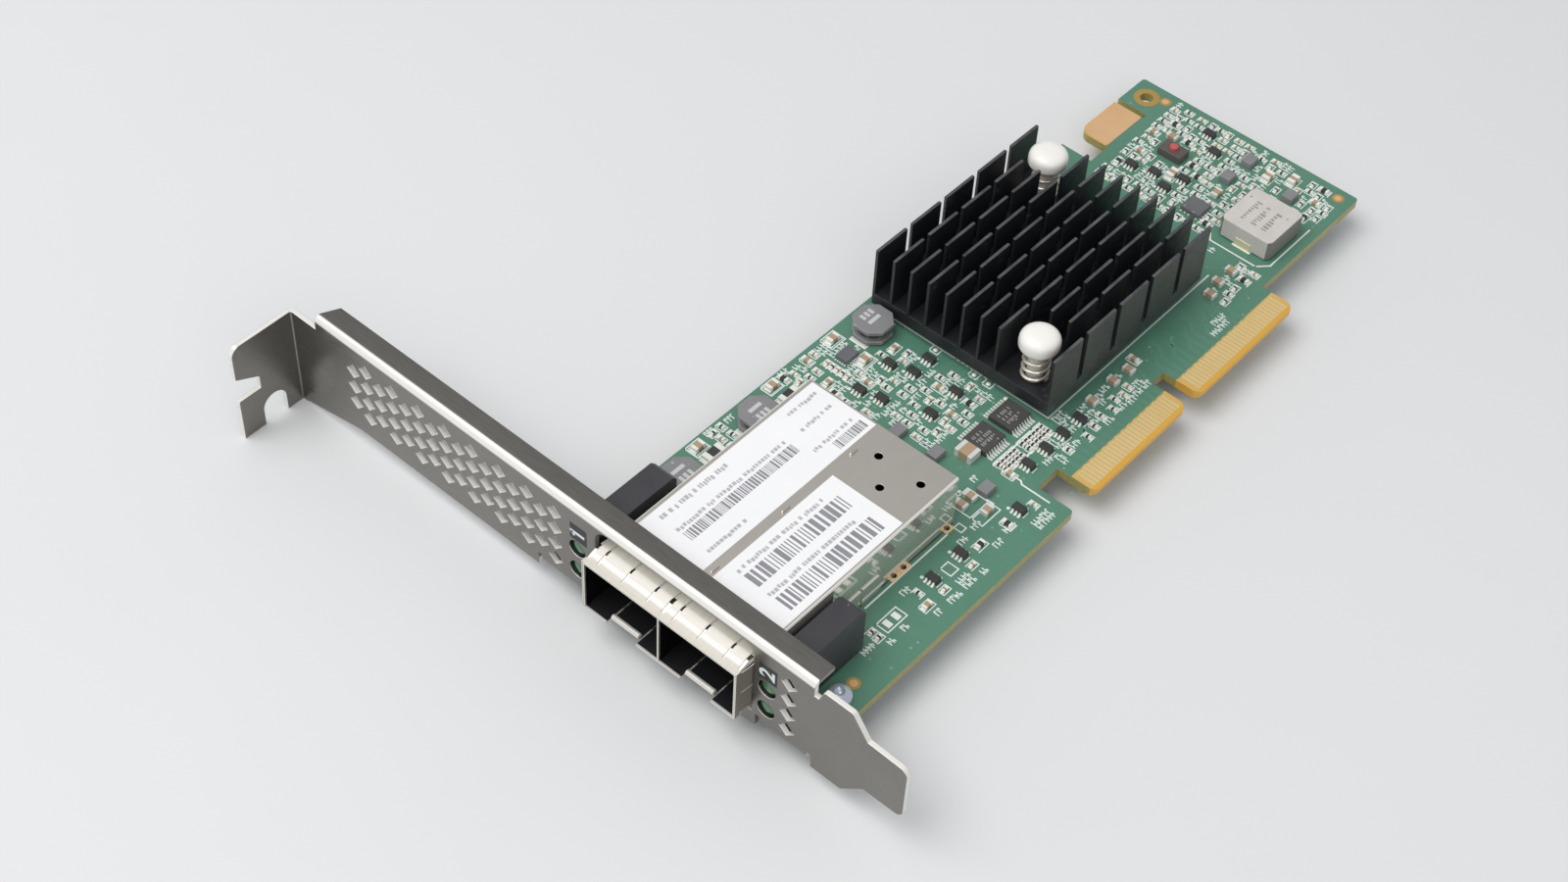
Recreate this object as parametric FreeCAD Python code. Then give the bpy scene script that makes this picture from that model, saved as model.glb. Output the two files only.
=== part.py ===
import FreeCAD, Part
import math
import os

os.makedirs("parts", exist_ok=True)
V = FreeCAD.Vector

# Driving dimensions, in millimetres. Layout values run along x from the inner face of the
# screw tab, along y from the outer face of the bracket and along z from the top of the board.

# Folded bracket
sheet = 0.86
bend_inside = 0.3
tab_reach = 11.5
tab_drop = 6.2
tab_corner = 1.6
raw_top = 12.8
skirt_drop = 3.3
flange_top = 15.3
flange_depth = 4.1
flange_start = 5.4
flange_slant = 1.9
flare_length = 13.5
flare_round = 4.0
slot_radius = 2.2
slot_setback = 5.2
slot_drop = 3.2
catch_depth = 4.2
catch_low = 1.75
catch_root = 2.55
catch_mouth = 4.75
shoulder_inset = 0.6
shoulder_notch = 1.6
shoulder_rise = 0.3
shoulder_length = 6.6
shoulder_round = 0.6
taper_length = 2.8
lower_taper_lead = 1.0
tongue_length = 15.56
tongue_low = 0.4
tongue_width = 10.5
tongue_round = 1.3
ear_reach = 13.0
ear_width = 8.5
ear_overhang = 1.0
ear_corner = 1.4
ear_margin = 0.4
relief_width = 0.8
relief_rise = 0.5

# Vent openings, squares standing on a corner in two alternating columns
vent_side = 1.9
vent_pitch = 5.54
vent_row = 3.36
vent_top = 11.1
vent_rows = 4
vent_inset = 13.2
vent_margin = 1.4
spare_vent_gap = 3.8

# Bracket screws
screw_head = 3.8
screw_head_height = 1.5
screw_shank = 2.0
screw_play = 0.1
screw_setback = 9.6
screw_end = 0.6
screw_recess = 0.7
screw_recess_width = 0.5
screw_recess_length = 2.1

# Circuit board
board_lead = 53.0
board_gap = 0.64
board_thick = 1.6
board_corner = 0.6
edge_strip = 1.6
root_strip = 7.0
finger_depth = 6.8
first_notch_setback = 14.0
first_notch = 5.1
key_gap = 3.1
tail_step = 6.2
hook_setback = 12.2
hook_gap = 4.8
hook_length = 10.3
hook_slot = 1.0
hook_depth = 6.1
hook_corner = 2.2
tail_length = 7.6
tooling_radius = 1.15
tooling_inset = 3.4
tooling_setback = 3.9

# Edge contacts and other bare metal on the board
pad_pitch = 0.8
pad_width = 0.55
pad_length = 3.4
pad_margin = 1.3
near_pad_count = 28
far_pad_count = 31
bevel_length = 0.7
bevel_depth = 0.35
finger_corner = 1.5
foil = 0.05
land_width = 1.45
land_length = 2.15

# Double port cage
port_width = 13.85
port_height = 9.45
cage_wall = 0.3
cage_length = 48.1
cage_proud = 3.1
cage_corner = 0.45
floor_gap = 1.7
latch_width = 5.2
latch_slit = 0.3
latch_length = 11.0
latch_setback = 1.2
latch_hole = 2.6
lip_radius = 0.45
lip_sink = 0.05
leg_width = 0.8
leg_tip = 0.9
leg_play = 0.15
leg_setbacks = (1.5, 11.5, 13.7)
tie_length = 1.6
tie_rise = 0.35
tie_setback = 6.7
tie_step = 14.9
vent_hole = 1.3
vent_spread = 3.95
vent_near = 4.8
vent_far = 9.3
socket_setback = 1.6
socket_width = 11.2
socket_depth = 11.5
socket_height = 6.4
socket_slot_low = 2.9
socket_slot_high = 4.7
socket_slot_depth = 7.0
socket_wall = 1.1
contact_pitch = 0.8
contact_width = 0.36
contacts_per_row = 10
contact_height = 0.3
contact_setback = 0.6

# Spring collar round the mouth of the cage
collar_sheet = 0.2
collar_end = 6.8
collar_foot = 2.2
collar_lip = 0.9
finger_rise = 0.75
side_rise = 0.2
finger_slit = 0.3
finger_pitch = 4.66
finger_shift = 0.55
collar_play = 0.1
cutout_low = 0.4
cutout_headroom = 3.95
cutout_corner = 2.2

# Indicator light pipes
led_width = 4.4
led_length = 17.1
led_height = 9.0
led_gap_left = 1.9
led_gap_right = 0.8
led_screw_gap = 1.1
led_chamfer = 0.9
led_setback = 0.3
lens_radius = 1.45
lens_play = 0.1
lens_low = 2.0
lens_pitch = 4.6
lens_recess = 0.3

# Heat sink, chip and spring push pins
sink_margin = 1.9
sink_width = 34.9
sink_length = 40.7
sink_base = 2.2
fin_height = 9.2
fin_thick = 0.55
fin_columns = 11
fin_rows = 5
fin_gap = 1.3
chip_size = 27.0
chip_height = 1.5
pad_size = 24.0
pad_thick = 0.3
pin_head = 7.0
pin_head_rise = 3.0
pin_head_edge = 1.2
pin_crown = 4.2
pin_shaft = 2.8
pin_play = 0.3
board_pin_play = 0.2
barb = 3.7
barb_gap = 0.05
barb_height = 0.5
pin_tip = 1.4
pin_tip_drop = 2.35
pin_split = 0.5
pin_barb_width = 1.5
spring_free = 6.4
spring_wire = 0.45
spring_play = 0.5
spring_turns = 4.5
spring_seat_turns = 0.75
spring_seat_gap = 0.1
spring_facets = 8

# Coils
coil_size = 6.3
coil_height = 3.0
coil_flange = 0.8
coil_core = 4.6
coil_gap = 0.3
coil_lead_gap = 1.5
coil_step = 17.0
terminal_thick = 0.15
terminal_width = 1.7
terminal_reach = 0.35
power_coil_size = 10.0
power_coil_height = 4.0
power_coil_round = 1.0
power_coil_inset = 7.6
power_coil_setback = 17.3
power_terminal_width = 3.0
power_terminal_rise = 1.6

# Packages and small parts on the board
logic_width = 4.4
logic_length = 5.0
logic_height = 1.1
logic_standoff = 0.1
logic_gap = 1.3
logic_inset = 4.6
logic_setback = 15.7
logic_leads = 8
logic_lead_pitch = 0.6
logic_lead_width = 0.25
logic_lead_reach = 0.9
lead_sheet = 0.15
sot_length = 2.1
sot_width = 1.25
sot_height = 0.95
quad_height = 0.85
quad_length = 3.1
quad_width = 2.3
quad_gap = 2.15
quad_setback = 14.8
regulator_length = 3.6
regulator_width = 3.8
cap_length = 3.2
cap_width = 2.5
cap_height = 1.6
mid_length = 2.0
mid_width = 1.25
mid_height = 0.9
end_share = 0.24
choke_length = 2.5
choke_width = 2.0
choke_height = 1.2
switch_length = 4.5
switch_width = 3.0
switch_height = 1.5
button_radius = 0.75
button_height = 0.6

# Labels on the cage
label_thick = 0.08
label_edge = 0.9
label_start = 0.4
label_ports_length = 25.6

# Derived layout
bend_outside = sheet + bend_inside
board_left = board_lead
board_front = sheet + board_gap
screw_room = screw_head + 2 * screw_play
led_1_left = board_left + screw_room
cage_left = led_1_left + led_width + led_gap_left
cage_width = 2 * port_width + 3 * cage_wall
cage_right = cage_left + cage_width
led_2_left = cage_right + led_gap_right
led_2_right = led_2_left + led_width
sink_left = board_left + sink_margin
sink_right = sink_left + sink_width
front_row_right = led_2_right + led_screw_gap + screw_head + edge_strip
back_row_right = sink_right + root_strip + finger_depth
board_right = max(front_row_right, back_row_right)
root = board_right - finger_depth
tail_right = board_right - tail_step

cage_front = -cage_proud
cage_rear = cage_front + cage_length
cage_top = 2 * cage_wall + port_height
notch_start = cage_rear + first_notch_setback
near_start = notch_start + first_notch
near_end = near_start + 2 * pad_margin + (near_pad_count - 1) * pad_pitch
far_start = near_end + key_gap
far_end = far_start + 2 * pad_margin + (far_pad_count - 1) * pad_pitch
quad_y = cage_rear + quad_setback
coil_front = quad_y + quad_length / 2 + quad_gap
sink_front = coil_front + coil_size + coil_gap
sink_rear = sink_front + sink_length
hook_notch_start = sink_rear + hook_setback
hook_start = hook_notch_start + hook_gap
hook_end = hook_start + hook_length
board_end = hook_end + hook_slot + tail_length

port_centres = [cage_left + cage_wall + port_width / 2 + k * (port_width + cage_wall) for k in (0, 1)]
divider_x = cage_left + cage_wall + port_width
led_xs = [led_1_left + led_width / 2, led_2_left + led_width / 2]
lens_heights = [lens_low, lens_low + lens_pitch]
led_front = sheet + led_setback
led_rear = led_front + led_length
screw_xs = [board_left + screw_room / 2, led_2_right + led_screw_gap + screw_head / 2]
ear_starts = [board_left - ear_overhang, screw_xs[1] + screw_head / 2 + ear_margin - ear_width]
leg_ys = [cage_rear - setback for setback in leg_setbacks]
socket_rear = cage_rear - cage_wall - socket_setback
socket_front = socket_rear - socket_depth
tie_ys = [cage_rear - tie_setback - k * tie_step for k in range(3)]
cutout_slack = side_rise + collar_sheet + collar_play
cutout_left = cage_left - cutout_slack
cutout_right = cage_right + cutout_slack
cutout_top = cage_top + cutout_headroom
shoulder = board_right - shoulder_inset
tongue_tip = board_right + tongue_length

sink_low = chip_height + pad_thick
sink_deck = sink_low + sink_base
sink_top = sink_deck + fin_height
fin_pitch = (sink_width - fin_thick) / (fin_columns - 1)
fin_length = (sink_length - (fin_rows - 1) * fin_gap) / fin_rows
fin_step = fin_length + fin_gap
near_pin = (sink_left + fin_thick / 2 + (fin_columns - 2.5) * fin_pitch, sink_front + fin_length / 2)
far_pin = (sink_left + fin_thick / 2 + 1.5 * fin_pitch, sink_rear - fin_length / 2)
pin_places = [near_pin, far_pin]
pin_hole = pin_shaft / 2 + pin_play
board_pin_hole = pin_shaft / 2 + board_pin_play
head_low = sink_deck + spring_free
sink_mid_x = (sink_left + sink_right) / 2
sink_mid_y = (sink_front + sink_rear) / 2

coil_x = (board_left + cage_left) / 2
coil_ys = [led_rear + coil_lead_gap + coil_size / 2]
coil_ys.append(coil_ys[0] + coil_step)
coil_ys.append(coil_front + coil_size / 2)
power_coil = (tail_right - power_coil_inset, sink_rear + power_coil_setback)

# The part's own frame: centred over its footprint, standing on its lowest edge
centre_x = (tongue_tip - sheet) / 2
centre_y = (board_end - tab_reach) / 2
to_frame = V(-centre_x, -centre_y, tab_drop)


def box(x0, x1, y0, y1, z0, z1):
    return Part.makeBox(x1 - x0, y1 - y0, z1 - z0, V(x0, y0, z0))


def block(x, y, length_x, length_y, z0, z1):
    return box(x - length_x / 2, x + length_x / 2, y - length_y / 2, y + length_y / 2, z0, z1)


def rod(x, y, z0, z1, radius):
    return Part.makeCylinder(radius, z1 - z0, V(x, y, z0))


def flat(x, y, z):
    return lambda u, v: V(x + u, y + v, z)


def upright(y):
    return lambda u, v: V(u, y, v)


def side_on(x):
    return lambda u, v: V(x, u, v)


def rounded_prism(corners, put, along):
    # Closed outline of (u, v, corner radius), laid in a plane by put and extruded
    entries = []
    exits = []
    middles = []
    for i, (u, v, radius) in enumerate(corners):
        here = V(u, v, 0)
        before = (V(*corners[i - 1][:2], 0) - here).normalize()
        after = (V(*corners[(i + 1) % len(corners)][:2], 0) - here).normalize()
        half = before.getAngle(after) / 2
        reach = radius / math.tan(half) if radius else 0
        bisector = (before + after).normalize() if radius else V()
        entries.append(here + before * reach)
        exits.append(here + after * reach)
        middles.append(here + bisector * (radius / math.sin(half) - radius) if radius else None)
    edges = []
    for i, middle in enumerate(middles):
        if middle:
            edges.append(Part.Arc(*(put(p.x, p.y) for p in (entries[i], middle, exits[i]))).toShape())
        start = exits[i]
        end = entries[(i + 1) % len(corners)]
        if start.distanceToPoint(end) > 1e-6:
            edges.append(Part.makeLine(put(start.x, start.y), put(end.x, end.y)))
    return Part.Face(Part.Wire(edges)).extrude(along)


def fuse(shapes):
    return shapes[0].multiFuse(shapes[1:]).removeSplitter()


def group(shapes):
    return Part.makeCompound(shapes)


def save(name, shape):
    shape.translated(to_frame).exportStep("parts/" + name + ".step")
    print(name, len(shape.Solids), round(shape.Volume, 2))


def bent_leg(put, along, end, width_sign):
    # Sheet turned through a right angle: from the face (v down or up) to a leg along u
    mid = math.sqrt(0.5)
    outer_mid = bend_outside * (1 - mid)
    inner_mid = bend_outside - bend_inside * mid
    s = width_sign
    edges = [
        Part.Arc(put(0, -s * bend_outside), put(outer_mid, -s * outer_mid), put(bend_outside, 0)).toShape(),
        Part.makeLine(put(bend_outside, 0), put(end, 0)),
        Part.makeLine(put(end, 0), put(end, -s * sheet)),
        Part.makeLine(put(end, -s * sheet), put(bend_outside, -s * sheet)),
        Part.Arc(
            put(bend_outside, -s * sheet), put(inner_mid, -s * inner_mid), put(sheet, -s * bend_outside)
        ).toShape(),
        Part.makeLine(put(sheet, -s * bend_outside), put(0, -s * bend_outside)),
    ]
    return Part.Face(Part.Wire(edges)).extrude(along)


def bracket_face():
    # Flat face with the flare at the tab, the stepped shoulder and the tapered tongue
    flange_line = flange_top - bend_outside
    tongue_high = tongue_low + tongue_width
    taper_start = shoulder + shoulder_length
    corners = [
        (bend_inside, -tab_drop, 0),
        (flare_length, -skirt_drop, flare_round),
        (taper_start - lower_taper_lead, -skirt_drop, 0),
        (taper_start + taper_length, tongue_low, 0),
        (tongue_tip, tongue_low, tongue_round),
        (tongue_tip, tongue_high, tongue_round),
        (taper_start + taper_length, tongue_high + shoulder_rise, 0),
        (taper_start, flange_top - shoulder_rise, shoulder_round),
        (shoulder + shoulder_notch, flange_top - shoulder_rise, shoulder_round),
        (shoulder + shoulder_notch / 2, raw_top, 0),
        (shoulder, raw_top, 0),
        (shoulder, flange_line, 0),
        (flange_start, flange_line, 0),
        (flange_start, raw_top, 0),
        (bend_inside, raw_top, 0),
    ]
    return rounded_prism(corners, upright(0), V(0, sheet, 0))


def bracket_tab():
    # Turned-out tab: bent strip shaped by the outline of its screw slot and catch notch
    height = raw_top + tab_drop
    strip = rounded_prism(
        [(-sheet, sheet, bend_outside), (bend_outside, sheet, 0), (bend_outside, 0, 0), (0, 0, bend_inside),
         (0, -tab_reach, 0), (-sheet, -tab_reach, 0)],
        flat(0, 0, -tab_drop), V(0, 0, height))
    catch_in = catch_depth - tab_reach
    outline = rounded_prism(
        [(2 * sheet, -tab_drop, 0), (2 * sheet, raw_top, 0), (-tab_reach, raw_top, tab_corner),
         (-tab_reach, catch_low + catch_mouth, 0), (catch_in, catch_low + catch_root, 0),
         (catch_in, catch_low, 0), (-tab_reach, catch_low, 0), (-tab_reach, -tab_drop, 0)],
        side_on(-2 * sheet), V(4 * sheet, 0, 0))
    slot = Part.makeCylinder(slot_radius, 4 * sheet, V(-2 * sheet, -slot_setback, -slot_drop), V(1, 0, 0))
    mouth = box(-2 * sheet, 2 * sheet, -slot_setback - slot_radius, -slot_setback + slot_radius,
                -tab_drop - 1, -slot_drop)
    return strip.common(outline).cut(slot).cut(mouth)


def bracket_flange():
    flange = bent_leg(lambda u, v: V(flange_start, u, flange_top + v), V(shoulder - flange_start, 0, 0),
                      flange_depth, 1)
    corner = rounded_prism(
        [(flange_start - 1, bend_outside, 0), (flange_start, bend_outside, 0),
         (flange_start + flange_slant, flange_depth + 1, 0), (flange_start - 1, flange_depth + 1, 0)],
        flat(0, 0, flange_top - 2 * sheet), V(0, 0, 4 * sheet))
    return flange.cut(corner)


def bracket_ear(start):
    under = -board_thick - sheet
    ear = bent_leg(lambda u, v: V(start, u, under + v), V(ear_width, 0, 0), ear_reach, -1)
    tips = [e for e in ear.Edges if abs(e.CenterOfMass.y - ear_reach) < 1e-6 and abs(e.Length - sheet) < 1e-6]
    return ear.makeChamfer(ear_corner, tips)


def vent_holes():
    # Two columns of squares per pitch, the second half a pitch and half a row away
    half = vent_side / math.sqrt(2)
    limit = led_xs[0] - lens_radius - lens_play - vent_margin - half
    columns = int((limit - vent_inset) / vent_pitch) + 1
    places = []
    for k in range(columns):
        for row in range(vent_rows - 1):
            places.append((vent_inset + k * vent_pitch, vent_top - (row + 0.5) * vent_row))
    wide_columns = int((limit - vent_inset - vent_pitch / 2) / vent_pitch) + 1
    for k in range(wide_columns):
        for row in range(vent_rows):
            places.append((vent_inset + (k + 0.5) * vent_pitch, vent_top - row * vent_row))
    for row in range(vent_rows):
        places.append((led_xs[1] + spare_vent_gap, vent_top - row * vent_row))
    cutters = []
    for x, z in places:
        corners = [(x - half, z, 0), (x, z - half, 0), (x + half, z, 0), (x, z + half, 0)]
        cutters.append(rounded_prism(corners, upright(-sheet), V(0, 3 * sheet, 0)))
    return cutters


def bracket():
    ears = [bracket_ear(start) for start in ear_starts]
    body = bracket_face()
    cutters = vent_holes()
    bend_line = bend_outside - board_thick - sheet
    for start in ear_starts:
        cutters.append(box(start - relief_width, start + ear_width + relief_width, -sheet, 2 * sheet,
                           -tab_drop, bend_line))
        for x in (start - relief_width, start + ear_width):
            cutters.append(box(x, x + relief_width, -sheet, 2 * sheet, -tab_drop, bend_line + relief_rise))
    corners = [(cutout_left, -cutout_low, 0), (cutout_right, -cutout_low, 0),
               (cutout_right, cutout_top, cutout_corner), (cutout_left, cutout_top, cutout_corner)]
    cutters.append(rounded_prism(corners, upright(-sheet), V(0, 3 * sheet, 0)))
    for x in led_xs:
        for z in lens_heights:
            cutters.append(Part.makeCylinder(lens_radius + lens_play, 3 * sheet, V(x, -sheet, z), V(0, 1, 0)))
    body = body.cut(cutters)
    whole = fuse([body, bracket_tab(), bracket_flange()] + ears)
    holes = [rod(x, screw_setback, -board_thick - 3 * sheet, 0, screw_shank / 2 + screw_play) for x in screw_xs]
    return whole.cut(holes)


def bracket_screw(x):
    # Pan head with a cross recess, seated on the board
    y = screw_setback
    top = screw_head_height
    head = rod(x, y, 0, top, screw_head / 2)
    shank = rod(x, y, -board_thick - sheet - screw_end, 0, screw_shank / 2)
    low = top - screw_recess
    recess = [block(x, y, screw_recess_length, screw_recess_width, low, top + 1),
              block(x, y, screw_recess_width, screw_recess_length, low, top + 1)]
    return head.fuse(shank).cut(recess)


def board_outline():
    corners = [
        (board_left, board_front, board_corner), (board_right, board_front, board_corner),
        (board_right, notch_start, board_corner), (root, notch_start, 0),
        (root, near_start, 0), (board_right, near_start, finger_corner),
        (board_right, near_end, finger_corner), (root, near_end, 0),
        (root, far_start, 0), (board_right, far_start, finger_corner),
        (board_right, far_end, finger_corner), (tail_right, far_end, 0),
        (tail_right, board_end, board_corner), (board_left, board_end, board_corner),
        (board_left, hook_end + hook_slot, 0), (board_left + hook_depth, hook_end + hook_slot, 0),
        (board_left + hook_depth, hook_end, 0), (board_left, hook_end, 0),
        (board_left, hook_start, hook_corner), (board_left + hook_depth, hook_start, 0),
        (board_left + hook_depth, hook_notch_start, 0), (board_left, hook_notch_start, 0),
    ]
    return rounded_prism(corners, flat(0, 0, -board_thick), V(0, 0, board_thick))


def board():
    bevels = []
    for start, end in ((near_start, near_end), (far_start, far_end)):
        for face, into in ((0, -bevel_depth), (-board_thick, bevel_depth)):
            wedge = [(board_right - bevel_length, face, 0), (board_right, face, 0), (board_right, face + into, 0)]
            bevels.append(rounded_prism(wedge, upright(start), V(0, end - start, 0)))
    low = -board_thick - 1
    holes = [rod(x, screw_setback, low, 1, screw_shank / 2 + screw_play) for x in screw_xs]
    holes += [rod(x, y, low, 1, board_pin_hole) for x, y in pin_places]
    holes.append(rod(board_left + tooling_inset, board_end - tooling_setback, low, 1, tooling_radius))
    for x in (cage_left + cage_wall / 2, cage_right - cage_wall / 2):
        holes += [block(x, y, cage_wall + 2 * leg_play, leg_width + 2 * leg_play, low, 1) for y in leg_ys]
    return board_outline().cut(bevels).cut(holes)


def edge_contacts():
    pads = []
    end = board_right - bevel_length
    for start, count in ((near_start, near_pad_count), (far_start, far_pad_count)):
        for k in range(count):
            y = start + pad_margin + k * pad_pitch
            for low in (0, -board_thick - foil):
                pads.append(box(end - pad_length, end, y - pad_width / 2, y + pad_width / 2, low, low + foil))
    return group(pads)


def leg_lands():
    # Bare copper beside the cage legs on the card-edge side
    left = cage_right + leg_play
    return [box(left, left + land_width, y - land_length / 2, y + land_length / 2, 0, foil) for y in leg_ys]


def hook_plating():
    inset = board_corner / 2
    corners = [(board_left + inset, hook_start + inset, hook_corner - inset),
               (board_left + hook_depth - inset, hook_start + inset, 0),
               (board_left + hook_depth - inset, hook_end - inset, 0),
               (board_left + inset, hook_end - inset, 0)]
    return rounded_prism(corners, flat(0, 0, 0), V(0, 0, foil))


def cage_shell():
    # One folded sheet: top, both sides and rear, with legs that pass through the board
    shell = box(cage_left, cage_right, cage_front, cage_rear, 0, cage_top)
    rims = [e for e in shell.Edges if abs(e.CenterOfMass.z - cage_top) < 1e-6]
    shell = shell.makeFillet(cage_corner, [e for e in rims if abs(e.Length - cage_length) < 1e-6])
    inner = box(cage_left + cage_wall, cage_right - cage_wall, cage_front - 1, cage_rear - cage_wall,
                -1, cage_top - cage_wall)
    legs = []
    for x in (cage_left, cage_right - cage_wall):
        for y in leg_ys:
            legs.append(box(x, x + cage_wall, y - leg_width / 2, y + leg_width / 2, -board_thick - leg_tip, 0))
    cutters = [inner]
    for y in tie_ys:
        cutters.append(block(divider_x + cage_wall / 2, y, cage_wall, tie_length, 0, cage_top + 1))
    for dx, setback in ((-vent_spread, vent_near), (vent_spread, vent_near), (0, vent_far)):
        x = port_centres[1] + dx
        cutters.append(rod(x, cage_rear - setback, cage_top - 1, cage_top + 1, vent_hole / 2))
    return fuse([shell.cut(cutters)] + legs)


def cage_divider():
    # Wall between the ports, with three ties that show through the top
    wall = box(divider_x, divider_x + cage_wall, cage_front, cage_rear - cage_wall,
               cage_wall, cage_top - cage_wall)
    ties = []
    for y in tie_ys:
        ties.append(block(divider_x + cage_wall / 2, y, cage_wall, tie_length, cage_top - cage_wall,
                          cage_top + tie_rise))
    return fuse([wall] + ties)


def cage_floor():
    # Bottom sheet with a slit-cut latch spring and a rolled lip in each port
    plate = box(cage_left + cage_wall, cage_right - cage_wall, cage_front, socket_front - floor_gap,
                0, cage_wall)
    latch_front = cage_front + latch_setback
    gap = latch_width + 2 * latch_slit
    windows = []
    latches = []
    for x in port_centres:
        windows.append(box(x - gap / 2, x + gap / 2, cage_front - 1, cage_front + latch_length, -1, 1))
        left = x - latch_width / 2
        leaf = box(left, left + latch_width, latch_front, cage_front + latch_length, 0, cage_wall)
        lip_axis = cage_wall + lip_radius - lip_sink
        lip = Part.makeCylinder(lip_radius, latch_width, V(left, latch_front, lip_axis), V(1, 0, 0))
        hole_y = cage_front + latch_length - latch_hole - 1
        hole = rounded_prism([(x - latch_hole / 2, hole_y, 0), (x + latch_hole / 2, hole_y, 0),
                              (x, hole_y + latch_hole, 0)], flat(0, 0, -1), V(0, 0, 2))
        latches.append(leaf.fuse(lip).cut(hole))
    return fuse([plate.cut(windows)] + latches)


def socket(x):
    # Card-edge socket at the back of a port, with its slot open to the front
    half = socket_width / 2
    body = box(x - half, x + half, socket_front, socket_rear, 0, socket_height)
    slot = box(x - half + socket_wall, x + half - socket_wall, socket_front - 1,
               socket_front + socket_slot_depth, socket_slot_low, socket_slot_high)
    return body.cut(slot)


def socket_contacts(x):
    # Lower row of contacts, on the floor of the socket's slot
    pieces = []
    first = x - (contacts_per_row - 1) / 2 * contact_pitch
    for k in range(contacts_per_row):
        y0 = socket_front + contact_setback
        y1 = socket_front + socket_slot_depth
        left = first + k * contact_pitch - contact_width / 2
        pieces.append(box(left, left + contact_width, y0, y1, socket_slot_low, socket_slot_low + contact_height))
    return pieces


def spring_finger(rise, put, along):
    # Leaf that rises from the lip to a crease over the bracket and comes down to a flat foot
    top = collar_sheet
    lip = cage_front + collar_lip
    foot = collar_end - collar_foot
    corners = [(collar_end, top), (foot, top), (0, top + rise), (lip, top),
               (lip, 0), (0, rise), (foot, 0), (collar_end, 0)]
    return rounded_prism([(u, v, 0) for u, v in corners], put, along)


def emi_collar():
    # Slotted spring sheet wrapped over the top and both sides of the cage mouth
    lip = cage_front + collar_lip
    outer = box(cage_left - collar_sheet, cage_right + collar_sheet, cage_front, lip, cage_wall,
                cage_top + collar_sheet)
    pieces = [outer.cut(box(cage_left, cage_right, cage_front - 1, lip + 1, -1, cage_top))]
    for x in port_centres:
        between = [x - finger_shift + k * finger_pitch for k in (-1, 0, 1)]
        slits = [x - port_width / 2] + between + [x + port_width / 2]
        for left, right in zip(slits, slits[1:]):
            put = (lambda start: lambda u, v: V(start, u, cage_top + v))(left + finger_slit / 2)
            pieces.append(spring_finger(finger_rise, put, V(right - left - finger_slit, 0, 0)))
    leaf = (port_height - 3 * cage_wall) / 2
    for low in (3 * cage_wall, 4 * cage_wall + leaf):
        on_left = (lambda z: lambda u, v: V(cage_left - v, u, z))(low)
        on_right = (lambda z: lambda u, v: V(cage_right + v, u, z))(low)
        pieces.append(spring_finger(side_rise, on_left, V(0, 0, leaf)))
        pieces.append(spring_finger(side_rise, on_right, V(0, 0, leaf)))
    return fuse(pieces)


def led_housing(x):
    body = block(x, led_front + led_length / 2, led_width, led_length, 0, led_height)
    rims = [e for e in body.Edges if abs(e.CenterOfMass.z - led_height) < 1e-6]
    return body.makeChamfer(led_chamfer, [e for e in rims if e.CenterOfMass.y > led_rear - 1e-6])


def led_lens(x, z):
    # Light pipe end that passes through the bracket
    return Part.makeCylinder(lens_radius, led_front - lens_recess, V(x, led_front, z), V(0, -1, 0))


def heat_sink():
    # Cross-cut fins on a flat base, with two fins left out of a row under each push pin
    pieces = [box(sink_left, sink_right, sink_front, sink_rear, sink_low, sink_deck)]
    near_gap = (fin_columns - 3, fin_columns - 2)
    far_gap = (1, 2)
    for row in range(fin_rows):
        y = sink_front + row * fin_step
        for column in range(fin_columns):
            if row == 0 and column in near_gap:
                continue
            if row == fin_rows - 1 and column in far_gap:
                continue
            x = sink_left + column * fin_pitch
            pieces.append(box(x, x + fin_thick, y, y + fin_length, sink_deck, sink_top))
    holes = [rod(x, y, sink_low - 1, sink_deck + 1, pin_hole) for x, y in pin_places]
    return fuse(pieces).cut(holes)


def push_pin(x, y):
    # Crowned head, plain shaft and an arrow-shaped barb, split in two, that snaps under the board
    edge = head_low + pin_head_edge
    top = head_low + pin_head_rise
    crown = Part.makeCone(pin_head / 2, pin_crown / 2, top - edge, V(x, y, edge))
    shaft = rod(x, y, -board_thick - barb_gap, head_low, pin_shaft / 2)
    barb_top = -board_thick - barb_gap
    barb_low = barb_top - barb_height
    tip = -board_thick - pin_tip_drop
    corners = [(x - pin_tip / 2, tip, 0), (x + pin_tip / 2, tip, 0), (x + barb / 2, barb_low, 0),
               (x + barb / 2, barb_top, 0), (x - barb / 2, barb_top, 0), (x - barb / 2, barb_low, 0)]
    arrow = rounded_prism(corners, upright(y - pin_barb_width / 2), V(0, pin_barb_width, 0))
    split = block(x, y, pin_split, 2 * barb, tip - 1, barb_top - barb_gap)
    return fuse([rod(x, y, head_low, edge, pin_head / 2), crown, shaft, arrow.cut(split)])


def pin_spring(x, y):
    # Wire coil with closed end turns, between the deck of the heat sink and the head of its pin
    wire = spring_wire / 2
    radius = pin_shaft / 2 + spring_play + wire
    height = spring_free - spring_wire
    steps = round(spring_turns * spring_facets)
    seat_rise = spring_seat_turns * (spring_wire + spring_seat_gap)
    open_rise = (height - 2 * seat_rise) / (spring_turns - 2 * spring_seat_turns)
    sections = []
    for step in range(steps + 1):
        ring = [
            V(radius + wire * math.cos(a), 0, wire * math.sin(a))
            for a in (math.radians(90 * k) for k in range(5))
        ]
        section = Part.makePolygon(ring)
        turns = spring_turns * step / steps
        seated = min(turns, spring_seat_turns) + max(turns + spring_seat_turns - spring_turns, 0)
        rise = seated * seat_rise / spring_seat_turns + (turns - seated) * open_rise
        section.rotate(V(), V(0, 0, 1), 360 * turns)
        sections.append(section.translated(V(x, y, sink_deck + wire + rise)))
    return Part.makeLoft(sections, True, True)


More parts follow.
